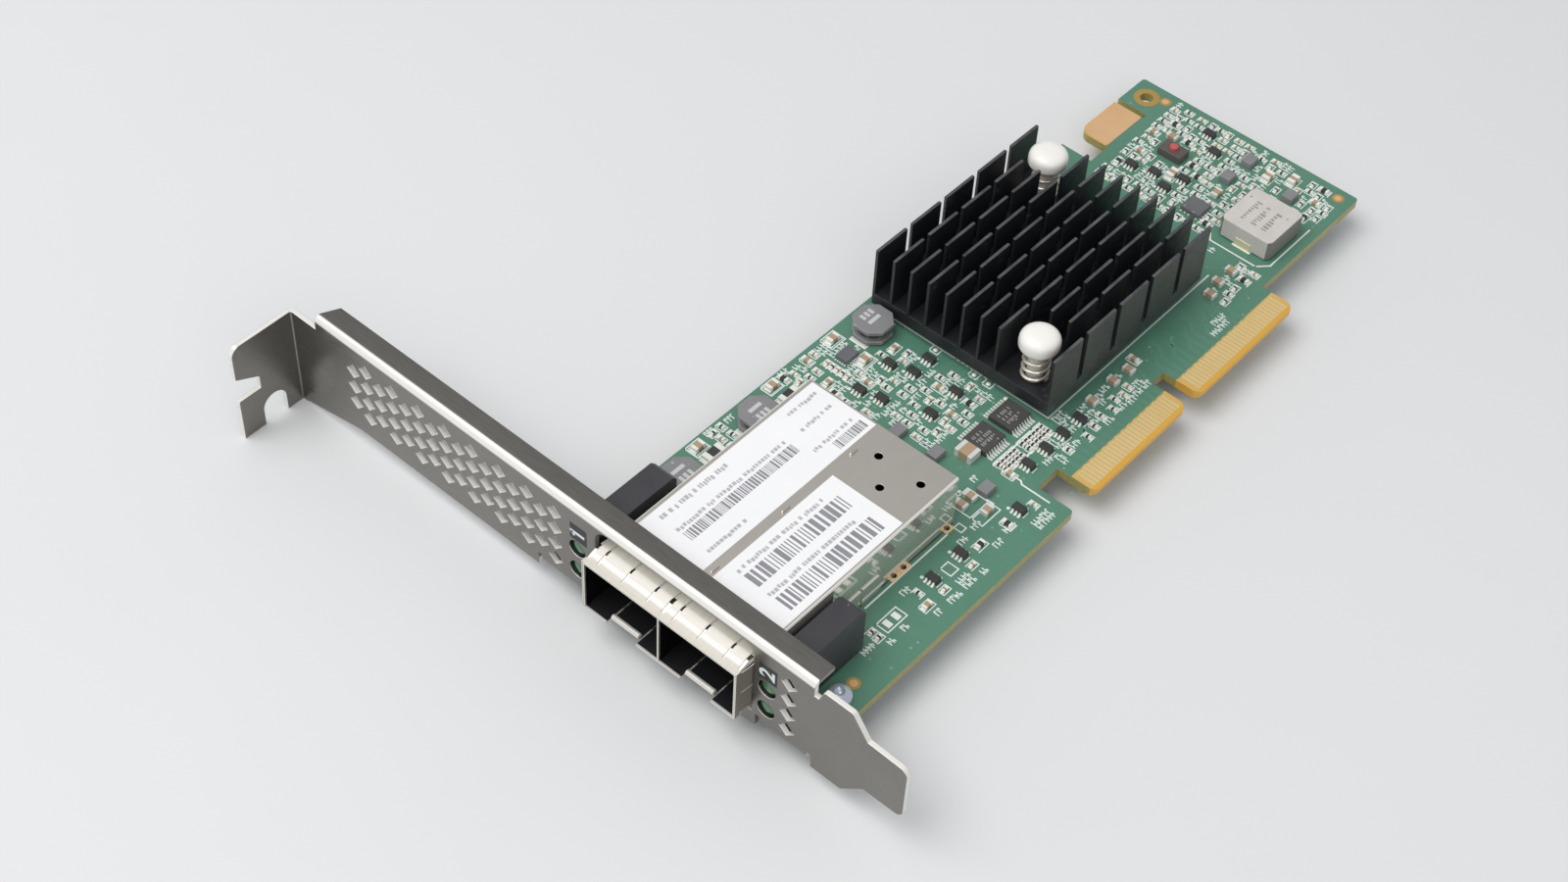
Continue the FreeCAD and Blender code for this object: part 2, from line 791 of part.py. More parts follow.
def octagon(x, y, size, z0, z1):
    half = size / 2
    cut = size * 0.28
    corners = [(half, -half + cut), (half, half - cut), (half - cut, half), (-half + cut, half),
               (-half, half - cut), (-half, -half + cut), (-half + cut, -half), (half - cut, -half)]
    return rounded_prism([(u, v, 0) for u, v in corners], flat(x, y, z0), V(0, 0, z1 - z0))


def coil(y):
    # Drum core: eight-sided flanges with a narrower winding between them
    low = terminal_thick
    top = coil_height
    waist = octagon(coil_x, y, coil_core, low + coil_flange, top - coil_flange)
    return fuse([octagon(coil_x, y, coil_size, low, low + coil_flange), waist,
                 octagon(coil_x, y, coil_size, top - coil_flange, top)])


def coil_terminals(y):
    width = coil_size * 0.44
    reach = coil_size / 2 + terminal_reach - terminal_width / 2
    return [block(coil_x, y + side * reach, width, terminal_width, 0, terminal_thick) for side in (-1, 1)]


def power_coil_body():
    x, y = power_coil
    half = power_coil_size / 2
    corners = [(-half, -half, power_coil_round), (half, -half, power_coil_round),
               (half, half, power_coil_round), (-half, half, power_coil_round)]
    return rounded_prism(corners, flat(x, y, terminal_thick), V(0, 0, power_coil_height - terminal_thick))


def power_coil_terminals():
    # Clips folded under the body and up its two ends
    x, y = power_coil
    half = power_coil_size / 2
    clips = []
    width = power_terminal_width
    for side in (-1, 1):
        wall = y + side * half
        foot = block(x, wall - side * terminal_width / 2, width, terminal_width, 0, terminal_thick)
        face = block(x, wall + side * terminal_thick / 2, width, terminal_thick, 0, power_terminal_rise)
        clips.append(fuse([foot, face]))
    return clips


def gull_lead(x, y, side):
    # Lead that leaves the package at half height and turns down to a flat foot
    shin = logic_lead_reach * 0.45
    height = (logic_standoff + logic_height) / 2
    corners = [(0, height - lead_sheet), (shin - lead_sheet, 0), (logic_lead_reach, 0),
               (logic_lead_reach, lead_sheet), (shin, lead_sheet), (0, height)]
    put = lambda u, v: V(x + side * u, y - logic_lead_width / 2, v)
    return rounded_prism([(u, v, 0) for u, v in corners], put, V(0, logic_lead_width, 0))


def logic_leads_for(x, y):
    first = y - (logic_leads - 1) / 2 * logic_lead_pitch
    lead_ys = [first + k * logic_lead_pitch for k in range(logic_leads)]
    return [gull_lead(x + side * logic_width / 2, lead_y, side) for side in (-1, 1) for lead_y in lead_ys]


def two_ended(x, y, length, width, height, along):
    # Chip part with a plated end on each short side: returns its body and its ends
    end = length * end_share
    core = length - 2 * end
    if along == "x":
        body = block(x, y, core, width, 0, height)
        ends = [block(x + side * (core + end) / 2, y, end, width, 0, height) for side in (-1, 1)]
    else:
        body = block(x, y, width, core, 0, height)
        ends = [block(x, y + side * (core + end) / 2, width, end, 0, height) for side in (-1, 1)]
    return body, ends


# Places on the board, each an offset from the edge or the piece that it belongs beside
logic_x = sink_right - logic_inset
logic_ys = [cage_rear + logic_setback, cage_rear + logic_setback + logic_length + logic_gap]
strip = root - 3.6
aside = cage_right + 4.6

mid_sots = [(15.6, 11.5), (11.8, 18.0), (15.6, 19.2), (15.6, 23.0), (11.9, 10.6), (23.0, 20.5), (23.0, 14.3)]
strip_sots = [(0.0, 16.4), (0.0, 20.8), (0.0, 25.0), (0.1, 29.2)]
aside_sots = [(0.0, -4.0), (0.0, -10.4), (1.1, 8.5)]
tail_sots = [(11.8, 15.9), (15.8, 17.0), (19.1, 15.2), (20.4, 19.0), (17.0, 31.5), (20.3, 28.2)]
sot_places = [(board_left + dx, cage_rear + dy) for dx, dy in mid_sots]
sot_places += [(strip + dx, cage_rear + dy) for dx, dy in strip_sots]
sot_places += [(aside + dx, cage_rear + dy) for dx, dy in aside_sots]
sot_places += [(board_left + dx, sink_rear + dy) for dx, dy in tail_sots]

choke_places = [(board_left + 21.8, cage_rear + 7.8), (board_left + 28.8, cage_rear + 8.3),
                (strip - 1.5, cage_rear + 8.0), (board_left + 25.6, sink_rear + 24.4),
                (board_left + 26.0, sink_rear + 30.3), (tail_right - 8.5, sink_rear + 27.7)]

mid_size_places = [
    (strip - 2.4, cage_rear + 5.4, "x"), (strip - 2.4, cage_rear + 3.2, "x"),
    (strip - 0.9, sink_front + 14.0, "x"), (strip - 1.5, sink_rear + 2.7, "x"),
    (strip - 0.5, sink_front + 17.6, "x"), (strip - 0.7, sink_front + 8.3, "x"),
    (strip - 0.8, sink_rear - 0.5, "x"), (strip - 1.4, sink_rear + 6.3, "x"),
    (strip + 1.1, cage_rear + 5.0, "y"), (board_left + 12.8, sink_rear + 26.4, "x"),
    (tail_right - 18.0, sink_rear + 20.0, "y"),
]

quad_place = (board_left + 5.8, quad_y)
regulator_place = (board_left + 25.8, sink_rear + 14.7)
cap_place = (logic_x, logic_ys[0] - logic_length / 2 - 0.3 - cap_width / 2)
switch_place = (board_left + 15.3, sink_rear + 23.0)


def small_parts():
    cap_body, cap_ends = two_ended(*cap_place, cap_length, cap_width, cap_height, "x")
    ceramics = [cap_body]
    ends = list(cap_ends)
    for x, y, along in mid_size_places:
        body, tips = two_ended(x, y, mid_length, mid_width, mid_height, along)
        ceramics.append(body)
        ends += tips
    return ceramics, ends


def label(left, right, start, end):
    return box(left, right, start, end, cage_top, cage_top + label_thick)


save("board", board())
save("edge_contacts", edge_contacts())
save("leg_lands", group(leg_lands()))
save("hook_plating", hook_plating())

save("bracket", bracket())
save("bracket_screws", group([bracket_screw(x) for x in screw_xs]))

save("cage_shell", cage_shell())
save("cage_floor", cage_floor())
save("cage_divider", cage_divider())
save("emi_collar", emi_collar())
for number, x in enumerate(port_centres, 1):
    save("port_socket_%d" % number, socket(x))
save("port_contacts", group([piece for x in port_centres for piece in socket_contacts(x)]))

for number, x in enumerate(led_xs, 1):
    save("led_housing_%d" % number, led_housing(x))
save("led_lenses", group([led_lens(x, z) for x in led_xs for z in lens_heights]))

save("heat_sink", heat_sink())
save("controller_chip", block(sink_mid_x, sink_mid_y, chip_size, chip_size, 0, chip_height))
save("thermal_pad", block(sink_mid_x, sink_mid_y, pad_size, pad_size, chip_height, sink_low))
for number, place in enumerate(pin_places, 1):
    save("push_pin_%d" % number, push_pin(*place))
    save("pin_spring_%d" % number, pin_spring(*place))

for number, y in enumerate(coil_ys, 1):
    save("coil_%d" % number, coil(y))
save("coil_terminals", group([piece for y in coil_ys for piece in coil_terminals(y)]))
save("power_coil", power_coil_body())
save("power_coil_terminals", group(power_coil_terminals()))

for number, y in enumerate(logic_ys, 1):
    save("logic_chip_%d" % number, block(logic_x, y, logic_width, logic_length, logic_standoff, logic_height))
save("logic_leads", group([piece for y in logic_ys for piece in logic_leads_for(logic_x, y)]))
save("sot_chips", group([block(x, y, sot_length, sot_width, 0, sot_height) for x, y in sot_places]))
save("quad_chips", group([block(*quad_place, quad_width, quad_length, 0, quad_height),
                          block(*regulator_place, regulator_width, regulator_length, 0, quad_height)]))
save("chokes", group([block(x, y, choke_width, choke_length, 0, choke_height) for x, y in choke_places]))

ceramic_bodies, plated_ends = small_parts()
save("ceramic_caps", group(ceramic_bodies))
save("plated_ends", group(plated_ends))
save("reset_switch", block(*switch_place, switch_length, switch_width, 0, switch_height))
save("switch_button", rod(*switch_place, switch_height, switch_height + button_height, button_radius))

label_from = collar_end + label_start
save("label_main", label(cage_left + label_edge, divider_x - label_edge, label_from, cage_rear - label_start))
save("label_ports", label(divider_x + cage_wall + label_edge * 0.6, cage_right - label_edge * 0.6, label_from,
                          label_from + label_ports_length))
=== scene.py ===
import bpy
import bmesh
import itertools
import math
import random
from mathutils import Matrix, Vector


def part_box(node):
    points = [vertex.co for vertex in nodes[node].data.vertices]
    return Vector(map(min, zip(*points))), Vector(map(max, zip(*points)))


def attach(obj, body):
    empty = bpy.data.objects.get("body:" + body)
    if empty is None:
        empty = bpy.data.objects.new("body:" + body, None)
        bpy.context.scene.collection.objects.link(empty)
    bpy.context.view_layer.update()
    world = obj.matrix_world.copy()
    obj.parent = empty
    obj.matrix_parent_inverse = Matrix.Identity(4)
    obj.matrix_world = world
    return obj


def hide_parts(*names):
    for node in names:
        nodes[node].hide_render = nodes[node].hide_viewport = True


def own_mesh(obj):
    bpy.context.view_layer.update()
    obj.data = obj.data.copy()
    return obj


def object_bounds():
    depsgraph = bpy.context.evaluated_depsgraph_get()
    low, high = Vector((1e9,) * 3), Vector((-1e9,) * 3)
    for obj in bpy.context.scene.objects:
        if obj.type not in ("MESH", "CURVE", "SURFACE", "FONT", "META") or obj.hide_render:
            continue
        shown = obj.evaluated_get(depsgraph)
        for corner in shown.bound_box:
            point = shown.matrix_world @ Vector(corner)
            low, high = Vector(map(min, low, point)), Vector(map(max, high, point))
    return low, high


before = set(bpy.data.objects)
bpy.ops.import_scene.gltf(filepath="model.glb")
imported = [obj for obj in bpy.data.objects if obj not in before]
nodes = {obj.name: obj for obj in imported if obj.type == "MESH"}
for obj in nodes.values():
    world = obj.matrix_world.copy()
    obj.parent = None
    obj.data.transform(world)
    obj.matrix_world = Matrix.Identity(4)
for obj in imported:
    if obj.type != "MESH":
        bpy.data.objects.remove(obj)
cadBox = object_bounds()
mm = 0.001
boardLow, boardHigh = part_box("board")
tabReach = 11.5  # how far the screw tab stands out in front of the bracket's face
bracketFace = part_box("bracket")[0].y + tabReach * mm


def at(u, v, h=0.0):  # millimetres right and back from the board's front left corner, up from its top
    return Vector((boardLow.x + u * mm, boardLow.y + v * mm, boardHigh.z + h * mm))


def tint(red, green, blue):  # colour as it shows on screen, 0 to 255
    shares = [level / 255 for level in (red, green, blue)]
    return tuple(((c + 0.055) / 1.055) ** 2.4 if c > 0.04 else c / 12.92 for c in shares) + (1.0,)


# camera and light
viewpoint = dict(azimuth=37.68, elevation=48.39, roll=4.27, distance=377.8, aim=(14.4, 40.8, 0.0),
                 focal=2564.7, imageWidth=1600, shiftRight=31.84, shiftDown=5.85)


def placeCamera(s):
    az, el, roll = (math.radians(s[key]) for key in ("azimuth", "elevation", "roll"))
    back = Vector((math.sin(az) * math.cos(el), -math.cos(az) * math.cos(el), math.sin(el)))
    right = Vector((math.cos(az), math.sin(az), 0.0))
    up = back.cross(right)
    tiltedRight = right * math.cos(roll) + up * math.sin(roll)
    tiltedUp = up * math.cos(roll) - right * math.sin(roll)
    data = bpy.data.cameras.new("photoCamera")
    data.sensor_width = 36.0
    data.lens = s["focal"] / s["imageWidth"] * data.sensor_width
    data.shift_x = -s["shiftRight"] / s["imageWidth"]
    data.shift_y = s["shiftDown"] / s["imageWidth"]
    data.clip_start = 0.01
    camera = bpy.data.objects.new("photoCamera", data)
    bpy.context.scene.collection.objects.link(camera)
    camera.matrix_world = Matrix((tiltedRight, tiltedUp, back)).transposed().to_4x4()
    camera.location = at(*s["aim"]) + back * s["distance"] * mm
    bpy.context.scene.camera = camera


studio = dict(skyColour=(0.98, 0.99, 1.0, 1.0), skyStrength=0.44,
              lamps=[("overhead", (-0.22, -0.36, 0.92), (0.8, 0.7), 6.6),  # name, place, size, power
                     ("nearSide", (0.65, -0.55, 0.75), (0.6, 0.5), 1.8)])


def lightStudio(s):
    scene = bpy.context.scene
    scene.view_settings.view_transform = "Standard"
    world = bpy.data.worlds.new("studioSky")
    world.use_nodes = True
    sky = world.node_tree.nodes["Background"]
    sky.inputs["Color"].default_value = s["skyColour"]
    sky.inputs["Strength"].default_value = s["skyStrength"]
    scene.world = world
    for name, place, size, power in s["lamps"]:
        data = bpy.data.lights.new(name, "AREA")
        data.shape = "RECTANGLE"
        data.size, data.size_y = size
        data.energy = power
        lamp = bpy.data.objects.new(name, data)
        lamp.location = place
        lamp.rotation_euler = (-Vector(place)).to_track_quat("-Z", "Y").to_euler()  # aimed at the part
        scene.collection.objects.link(lamp)


placeCamera(viewpoint)
lightStudio(studio)
print("camera and studio light placed")


# shared surface effects
def newGroup(name, inputs, outputs):
    group = bpy.data.node_groups.new(name, "ShaderNodeTree")
    for label, value in inputs.items():
        kind = "NodeSocketVector" if isinstance(value, tuple) else "NodeSocketFloat"
        group.interface.new_socket(name=label, in_out="INPUT", socket_type=kind).default_value = value
    for label in outputs:
        group.interface.new_socket(name=label, in_out="OUTPUT", socket_type="NodeSocketFloat")
    return group, group.nodes.new("NodeGroupInput").outputs, group.nodes.new("NodeGroupOutput").inputs


def addNode(tree, kind, values=None, **settings):
    node = tree.nodes.new(kind)
    for key, value in settings.items():
        setattr(node, key, value)
    for key, value in (values or {}).items():
        if isinstance(value, bpy.types.NodeSocket):
            tree.links.new(value, node.inputs[key])
        else:
            node.inputs[key].default_value = value
    return node


def rangeOf(tree, value, low, high, fromLow, fromHigh):
    node = addNode(tree, "ShaderNodeMapRange", {"Value": value, "From Min": fromLow, "From Max": fromHigh,
                                                "To Min": low, "To Max": high})
    return node.outputs["Result"]


def calc(tree, operation, first, second=0.0):
    return addNode(tree, "ShaderNodeMath", {0: first, 1: second}, operation=operation).outputs[0]


def spotIn(tree):
    return addNode(tree, "ShaderNodeTexCoord").outputs["Object"]


def stretched(tree, spot, stretch):
    node = addNode(tree, "ShaderNodeVectorMath", {0: spot, 1: stretch}, operation="MULTIPLY")
    return node.outputs["Vector"]


def noiseOf(tree, spot, scale, detail=2.0, roughness=0.5):
    values = {"Vector": spot, "Scale": scale, "Detail": detail, "Roughness": roughness}
    return addNode(tree, "ShaderNodeTexNoise", values).outputs["Fac"]


def makeMottle():  # soft cloudy variation
    group, source, result = newGroup("mottle", dict(Scale=200.0, Low=0.0, High=1.0), ["Value"])
    clouds = noiseOf(group, spotIn(group), source["Scale"], 5.0, 0.6)
    group.links.new(rangeOf(group, clouds, source["Low"], source["High"], 0.32, 0.68), result["Value"])
    return group


def makeBrushing():  # streaks along the direction in which Stretch is smallest
    inputs = dict(Stretch=(400.0, 8000.0, 8000.0), Low=0.0, High=1.0)
    group, source, result = newGroup("brushing", inputs, ["Value"])
    streaks = noiseOf(group, stretched(group, spotIn(group), source["Stretch"]), 1.0, 3.0)
    group.links.new(rangeOf(group, streaks, source["Low"], source["High"], 0.3, 0.7), result["Value"])
    return group


def makeScuffs():  # sparse hairline scratches
    inputs = dict(Stretch=(90.0, 900.0, 900.0), Width=0.012, Cover=0.56)
    group, source, result = newGroup("scuffs", inputs, ["Mask"])
    spot = spotIn(group)
    turned = addNode(group, "ShaderNodeMapping", {"Vector": spot, "Rotation": (0.3, 0.5, 0.7)})
    lines = noiseOf(group, stretched(group, turned.outputs["Vector"], source["Stretch"]), 1.0, 1.0)
    offset = calc(group, "ABSOLUTE", calc(group, "SUBTRACT", lines, 0.5))
    thin = calc(group, "LESS_THAN", offset, source["Width"])
    some = calc(group, "GREATER_THAN", noiseOf(group, spot, 160.0), source["Cover"])
    group.links.new(calc(group, "MULTIPLY", thin, some), result["Mask"])
    return group


def makeSpecks():  # dust and fine pits
    group, source, result = newGroup("specks", dict(Scale=900.0, Size=0.12), ["Mask"])
    spot = spotIn(group)
    cells = addNode(group, "ShaderNodeTexVoronoi", {"Vector": spot, "Scale": source["Scale"]})
    dots = calc(group, "LESS_THAN", cells.outputs["Distance"], source["Size"])
    some = calc(group, "GREATER_THAN", noiseOf(group, spot, 220.0), 0.52)
    group.links.new(calc(group, "MULTIPLY", dots, some), result["Mask"])
    return group


def makeFacing():  # where the surface looks: level, up, over a front bend, or away from X or Y
    group, source, result = newGroup("facing", {}, ["Flat", "Up", "Bend", "EdgeX", "EdgeY"])
    normal = addNode(group, "ShaderNodeTexCoord").outputs["Normal"]
    parts = addNode(group, "ShaderNodeSeparateXYZ", {"Vector": normal}).outputs
    bands = (("Z", "Flat", 0.35, 0.6), ("X", "EdgeX", 0.4, 0.25), ("Y", "EdgeY", 0.4, 0.25))
    for axis, label, low, high in bands:
        steep = calc(group, "ABSOLUTE", parts[axis])
        group.links.new(rangeOf(group, steep, 0.0, 1.0, low, high), result[label])
    group.links.new(rangeOf(group, parts["Z"], 0.0, 1.0, 0.3, 0.9), result["Up"])
    slant = calc(group, "MULTIPLY", parts["Y"], parts["Z"])
    group.links.new(rangeOf(group, slant, 0.0, 1.0, -0.06, -0.3), result["Bend"])
    return group


effects = dict(mottle=makeMottle(), brushing=makeBrushing(), scuffs=makeScuffs(), specks=makeSpecks(),
               facing=makeFacing())


class Finish:  # one material with its shader and a few ways to add an effect
    def __init__(self, name, colour, roughness, metallic=0.0, **sockets):
        self.material = bpy.data.materials.new(name)
        self.material.use_nodes = True
        self.tree = self.material.node_tree
        self.shader = self.tree.nodes["Principled BSDF"]
        self.shader.inputs["Base Color"].default_value = colour
        self.shader.inputs["Roughness"].default_value = roughness
        self.shader.inputs["Metallic"].default_value = metallic
        for key, value in sockets.items():
            self.shader.inputs[key.replace("_", " ")].default_value = value
        self.colour = colour

    def effect(self, name, output, **values):
        return addNode(self.tree, "ShaderNodeGroup", values, node_tree=effects[name]).outputs[output]

    def mottle(self, scale, low=0.0, high=1.0):
        return self.effect("mottle", "Value", Scale=scale, Low=low, High=high)

    def brushing(self, stretch, low=0.0, high=1.0):
        return self.effect("brushing", "Value", Stretch=stretch, Low=low, High=high)

    def specks(self, scale, size):
        return self.effect("specks", "Mask", Scale=scale, Size=size)

    def facing(self, way):
        return self.effect("facing", way)

    def both(self, first, second, operation="MULTIPLY"):
        return calc(self.tree, operation, first, second)

    def rest(self, mask):  # 1 where the mask is 0
        return self.both(1.0, mask, "SUBTRACT")

    def fade(self, mask, atNone, atFull):
        return rangeOf(self.tree, mask, atNone, atFull, 0.0, 1.0)

    def inside(self, axis, low, high, soft=0.02):  # 1 between two places along an axis, in metres
        value = addNode(self.tree, "ShaderNodeSeparateXYZ", {"Vector": spotIn(self.tree)}).outputs[axis]
        rise = rangeOf(self.tree, value, 0.0, 1.0, low - soft * mm, low + soft * mm)
        fall = rangeOf(self.tree, value, 1.0, 0.0, high - soft * mm, high + soft * mm)
        return self.both(rise, fall)

    def paint(self, mask, colour):  # the other colour where the mask is 1
        values = {0: mask, 6: self.colour, 7: tint(*colour)}
        self.colour = addNode(self.tree, "ShaderNodeMix", values, data_type="RGBA").outputs[2]
        self.tree.links.new(self.colour, self.shader.inputs["Base Color"])

    def rough(self, value):
        self.tree.links.new(value, self.shader.inputs["Roughness"])

    def metal(self, value):
        self.tree.links.new(value, self.shader.inputs["Metallic"])

    def relief(self, height, depth, strength):  # depth in millimetres
        values = {"Height": height, "Strength": strength, "Distance": depth * mm}
        bump = addNode(self.tree, "ShaderNodeBump", values)
        self.tree.links.new(bump.outputs["Normal"], self.shader.inputs["Normal"])


def makeBoardFinish():
    f = Finish("solderMaskGreen", tint(84, 132, 110), 0.36, Specular_IOR_Level=0.55)
    f.paint(f.mottle(70.0, 0.0, 0.55), (96, 142, 122))
    f.paint(f.mottle(1500.0, 0.0, 0.25), (70, 120, 98))
    f.paint(f.specks(420.0, 0.09), (140, 170, 154))
    low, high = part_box("edge_contacts")
    beyond = boardHigh.x + 1 * mm
    bare = f.both(f.inside("X", low.x - 0.3 * mm, beyond),
                  f.inside("Y", low.y - 0.9 * mm, high.y + 1.2 * mm))
    low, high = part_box("hook_plating")
    land = f.both(f.inside("X", low.x - 1 * mm, high.x - 0.2 * mm),
                  f.inside("Y", low.y - 0.4 * mm, high.y + 0.4 * mm))
    f.paint(f.both(bare, land, "MAXIMUM"), (214, 174, 96))
    edge = f.rest(f.facing("Flat"))
    f.paint(edge, (168, 158, 92))
    layers = noiseOf(f.tree, spotIn(f.tree), 2600.0)
    f.paint(f.both(edge, rangeOf(f.tree, layers, 0.0, 0.5, 0.45, 0.7)), (120, 122, 70))
    rim = f.both(edge, f.inside("X", boardHigh.x - 0.7 * mm, beyond), "MAXIMUM")  # cut resin glows warm there
    f.paint(f.both(bare, rim), (222, 170, 66))
    f.rough(f.mottle(260.0, 0.30, 0.44))
    f.relief(f.mottle(900.0), 0.012, 0.6)
    return f.material


def makeSteel(name, colour, other, low, high, stretch, depth, metallic=1.0):
    f = Finish(name, tint(*colour), 0.35, metallic)
    f.paint(f.mottle(55.0, 0.0, 0.7), other)
    f.rough(f.brushing(stretch, low, high))
    f.relief(f.brushing(stretch), depth, 0.5)
    return f


def makeBracketFinish():  # brushed, with a painted highlight over the long bend and at the cut edges
    streaks = (260.0, 5200.0, 5200.0)
    f = makeSteel("bracketNickel", (138, 135, 130), (128, 125, 120), 0.26, 0.38, streaks, 0.003)
    low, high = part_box("bracket")
    cut = f.both(f.inside("Y", bracketFace - 0.03 * mm, bracketFace + 0.88 * mm), f.facing("EdgeY"))
    for housing in ("led_housing_1", "led_housing_2"):  # the holes round the light pipes get no painted highlight
        left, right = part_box(housing)
        cut = f.both(cut, f.rest(f.inside("X", left.x - 0.4 * mm, right.x + 0.4 * mm)))
    vents = f.both(f.inside("X", low.x + 8 * mm, right.x + 3.5 * mm),
                   f.inside("Z", boardHigh.z - 2 * mm, high.z - 1.8 * mm))
    ventShade = f.both(vents, rangeOf(f.tree, f.facing("Up"), 0.85, 0.05, 0.0, 0.6))  # vent walls that look down keep little of the painted highlight, as painted shade
    cut = f.both(cut, f.rest(ventShade))
    tabCut = f.both(f.inside("Y", low.y - 1 * mm, bracketFace - 0.05 * mm), f.facing("EdgeX"))
    # painted highlight on the long bend and the cut edges, with less metal there
    paintedHighlight = f.both(f.both(cut, tabCut, "MAXIMUM"), f.facing("Bend"), "MAXIMUM")
    f.paint(paintedHighlight, (240, 237, 231))
    f.metal(f.fade(paintedHighlight, 1.0, 0.2))
    return f.material


def makeCageFinish(name, colour, other, metallic, ceiling):  # bright outside, smooth sides, painted highlight along the top edges, painted shade in the bays
    f = Finish(name, tint(*colour), 0.3, metallic)
    f.paint(f.mottle(55.0, 0.0, 0.7), other)
    top, streaks = f.facing("Up"), (4200.0, 240.0, 4200.0)
    f.paint(f.both(f.brushing(streaks, 0.0, 0.5), top), (200, 195, 187))
    satin = f.both(f.brushing(streaks, 0.30, 0.44), top)
    f.rough(f.both(satin, f.fade(top, 0.09, 0.0), "ADD"))
    f.relief(f.both(f.brushing(streaks), top), 0.004, 0.5)
    low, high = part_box("cage_shell")
    skin, bend = 0.12 * mm, 0.3 * mm
    # painted highlight along the top edges of the cage's sides
    paintedEdgeHighlight = f.both(f.rest(f.inside("X", low.x + bend, high.x - bend)),
                       f.inside("Z", high.z - bend, high.z + bend))
    f.paint(paintedEdgeHighlight, (252, 249, 243))
    f.metal(f.both(f.fade(top, metallic * 0.72, metallic), f.fade(paintedEdgeHighlight, 1.0, 0.15)))
    # painted shade inside the port bays
    shadedBay = f.both(f.inside("X", low.x + skin, high.x - skin),
                 f.inside("Z", boardHigh.z + skin, boardHigh.z + ceiling * mm))
    f.paint(f.both(shadedBay, f.inside("Y", low.y + 0.3 * mm, high.y - skin)), (34, 34, 36))
    return f.material


def makeCollarFinish():  # painted highlight over the bent band, cream on the slopes, the rear slope painted paler against its shade, painted shade at the sides
    f = Finish("collarBright", tint(230, 225, 214), 0.36, 0.1)
    streaks = (1400.0, 160.0, 1400.0)
    f.paint(f.brushing(streaks, 0.0, 0.7), (218, 212, 200))
    crest = bracketFace - 0.85 * mm
    # painted highlight on the crest band
    f.paint(f.inside("Y", bracketFace - 1.75 * mm, crest, 0.15), (254, 253, 250))
    # rear slope painted paler, lifting the shade near the flange
    f.paint(f.inside("Y", crest, bracketFace + 0.5 * mm, 0.15), (248, 244, 235))
    # painted shade on the sides
    f.paint(f.rest(f.facing("EdgeX")), (128, 122, 113))
    f.rough(f.brushing(streaks, 0.34, 0.42))
    return f.material


def makePlastic(name, colour, other, low, high, grain, depth, **sockets):
    f = Finish(name, tint(*colour), 0.5, **sockets)
    f.paint(f.mottle(grain * 0.12, 0.0, 0.7), other)
    f.rough(f.mottle(grain * 0.5, low, high))
    f.relief(f.mottle(grain), depth, 0.5)
    return f


def makeDusty(name, colour, other, low, high, grain, depth, dust):
    f = makePlastic(name, colour, other, low, high, grain, depth)
    f.paint(f.both(f.specks(500.0, 0.1), f.facing("Up")), dust)
    return f.material


def makeCoilPowder():  # pressed powder, with painted shade on the sides that face along X
    f = makePlastic("coilPowder", (210, 205, 200), (198, 193, 188), 0.48, 0.64, 2600.0, 0.03)
    # painted shade on the sides facing along X
    f.paint(f.rest(f.facing("EdgeX")), (120, 120, 114))
    f.paint(f.both(f.specks(500.0, 0.1), f.facing("Up")), (150, 146, 142))
    return f.material


def makePlated(name, colour, other, low, high, grain=900.0, metallic=0.45):
    f = Finish(name, tint(*colour), 0.3, metallic)
    f.paint(f.mottle(grain * 0.25, 0.0, 0.8), other)
    f.rough(f.mottle(grain, low, high))
    f.relief(f.mottle(grain * 1.5), 0.006, 0.4)
    return f.material


def makeSinkFinish():  # anodised black, paler in patches on the top faces, with a painted sheen on the outer flanks
    f = Finish("blackAnodised", tint(27, 29, 33), 0.42, Specular_IOR_Level=0.6)
    f.paint(f.mottle(120.0, 0.0, 0.8), (36, 38, 42))
    scuffs = f.effect("scuffs", "Mask", Stretch=(140.0, 140.0, 1500.0), Width=0.010, Cover=0.60)
    f.paint(scuffs, (84, 86, 90))
    low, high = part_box("heat_sink")
    # paler patches on the top faces
    paleTopPatches = f.both(f.inside("Z", high.z - 0.06 * mm, high.z + 1 * mm), f.mottle(300.0, 0.2, 0.9))
    f.paint(paleTopPatches, (92, 94, 97))
    # painted sheen on the outer flanks
    paintedFlankSheen = f.rest(f.inside("X", low.x + 0.05 * mm, high.x - 0.05 * mm))
    f.paint(f.both(paintedFlankSheen, f.mottle(90.0, 0.35, 1.0)), (70, 73, 73))
    f.rough(f.mottle(700.0, 0.36, 0.52))
    f.relief(f.mottle(2200.0), 0.01, 0.5)
    f.paint(f.both(f.specks(380.0, 0.08), f.facing("Up")), (120, 122, 124))
    return f.material


cageTall = (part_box("cage_shell")[1].z - boardHigh.z) / mm
finishes = dict(
    board=makeBoardFinish(), bracket=makeBracketFinish(), collar=makeCollarFinish(),
    powder=makeCoilPowder(), sink=makeSinkFinish(),
    cage=makeCageFinish("cageSatin", (232, 226, 218), (222, 216, 207), 1.0, cageTall - 0.12),
    cageFloor=makeCageFinish("cageFloorSatin", (228, 225, 218), (220, 216, 208), 0.2, 0.4),
    screw=makeSteel("screwZinc", (214, 222, 234), (196, 205, 220), 0.22, 0.36,
                    (2600.0, 2600.0, 900.0), 0.004, 0.5).material,
    spring=makeSteel("springWire", (246, 239, 226), (232, 222, 204), 0.12, 0.22,
                     (2400.0,) * 3, 0.002, 0.55).material,
    lens=makePlastic("lightPipeGreen", (50, 106, 66), (68, 126, 82), 0.12, 0.22, 500.0, 0.002,
                     Coat_Weight=0.5).material,
    pin=makePlastic("pinNylon", (248, 246, 240), (244, 241, 234), 0.26, 0.38, 700.0, 0.004,
                    Coat_Weight=0.3).material,
)
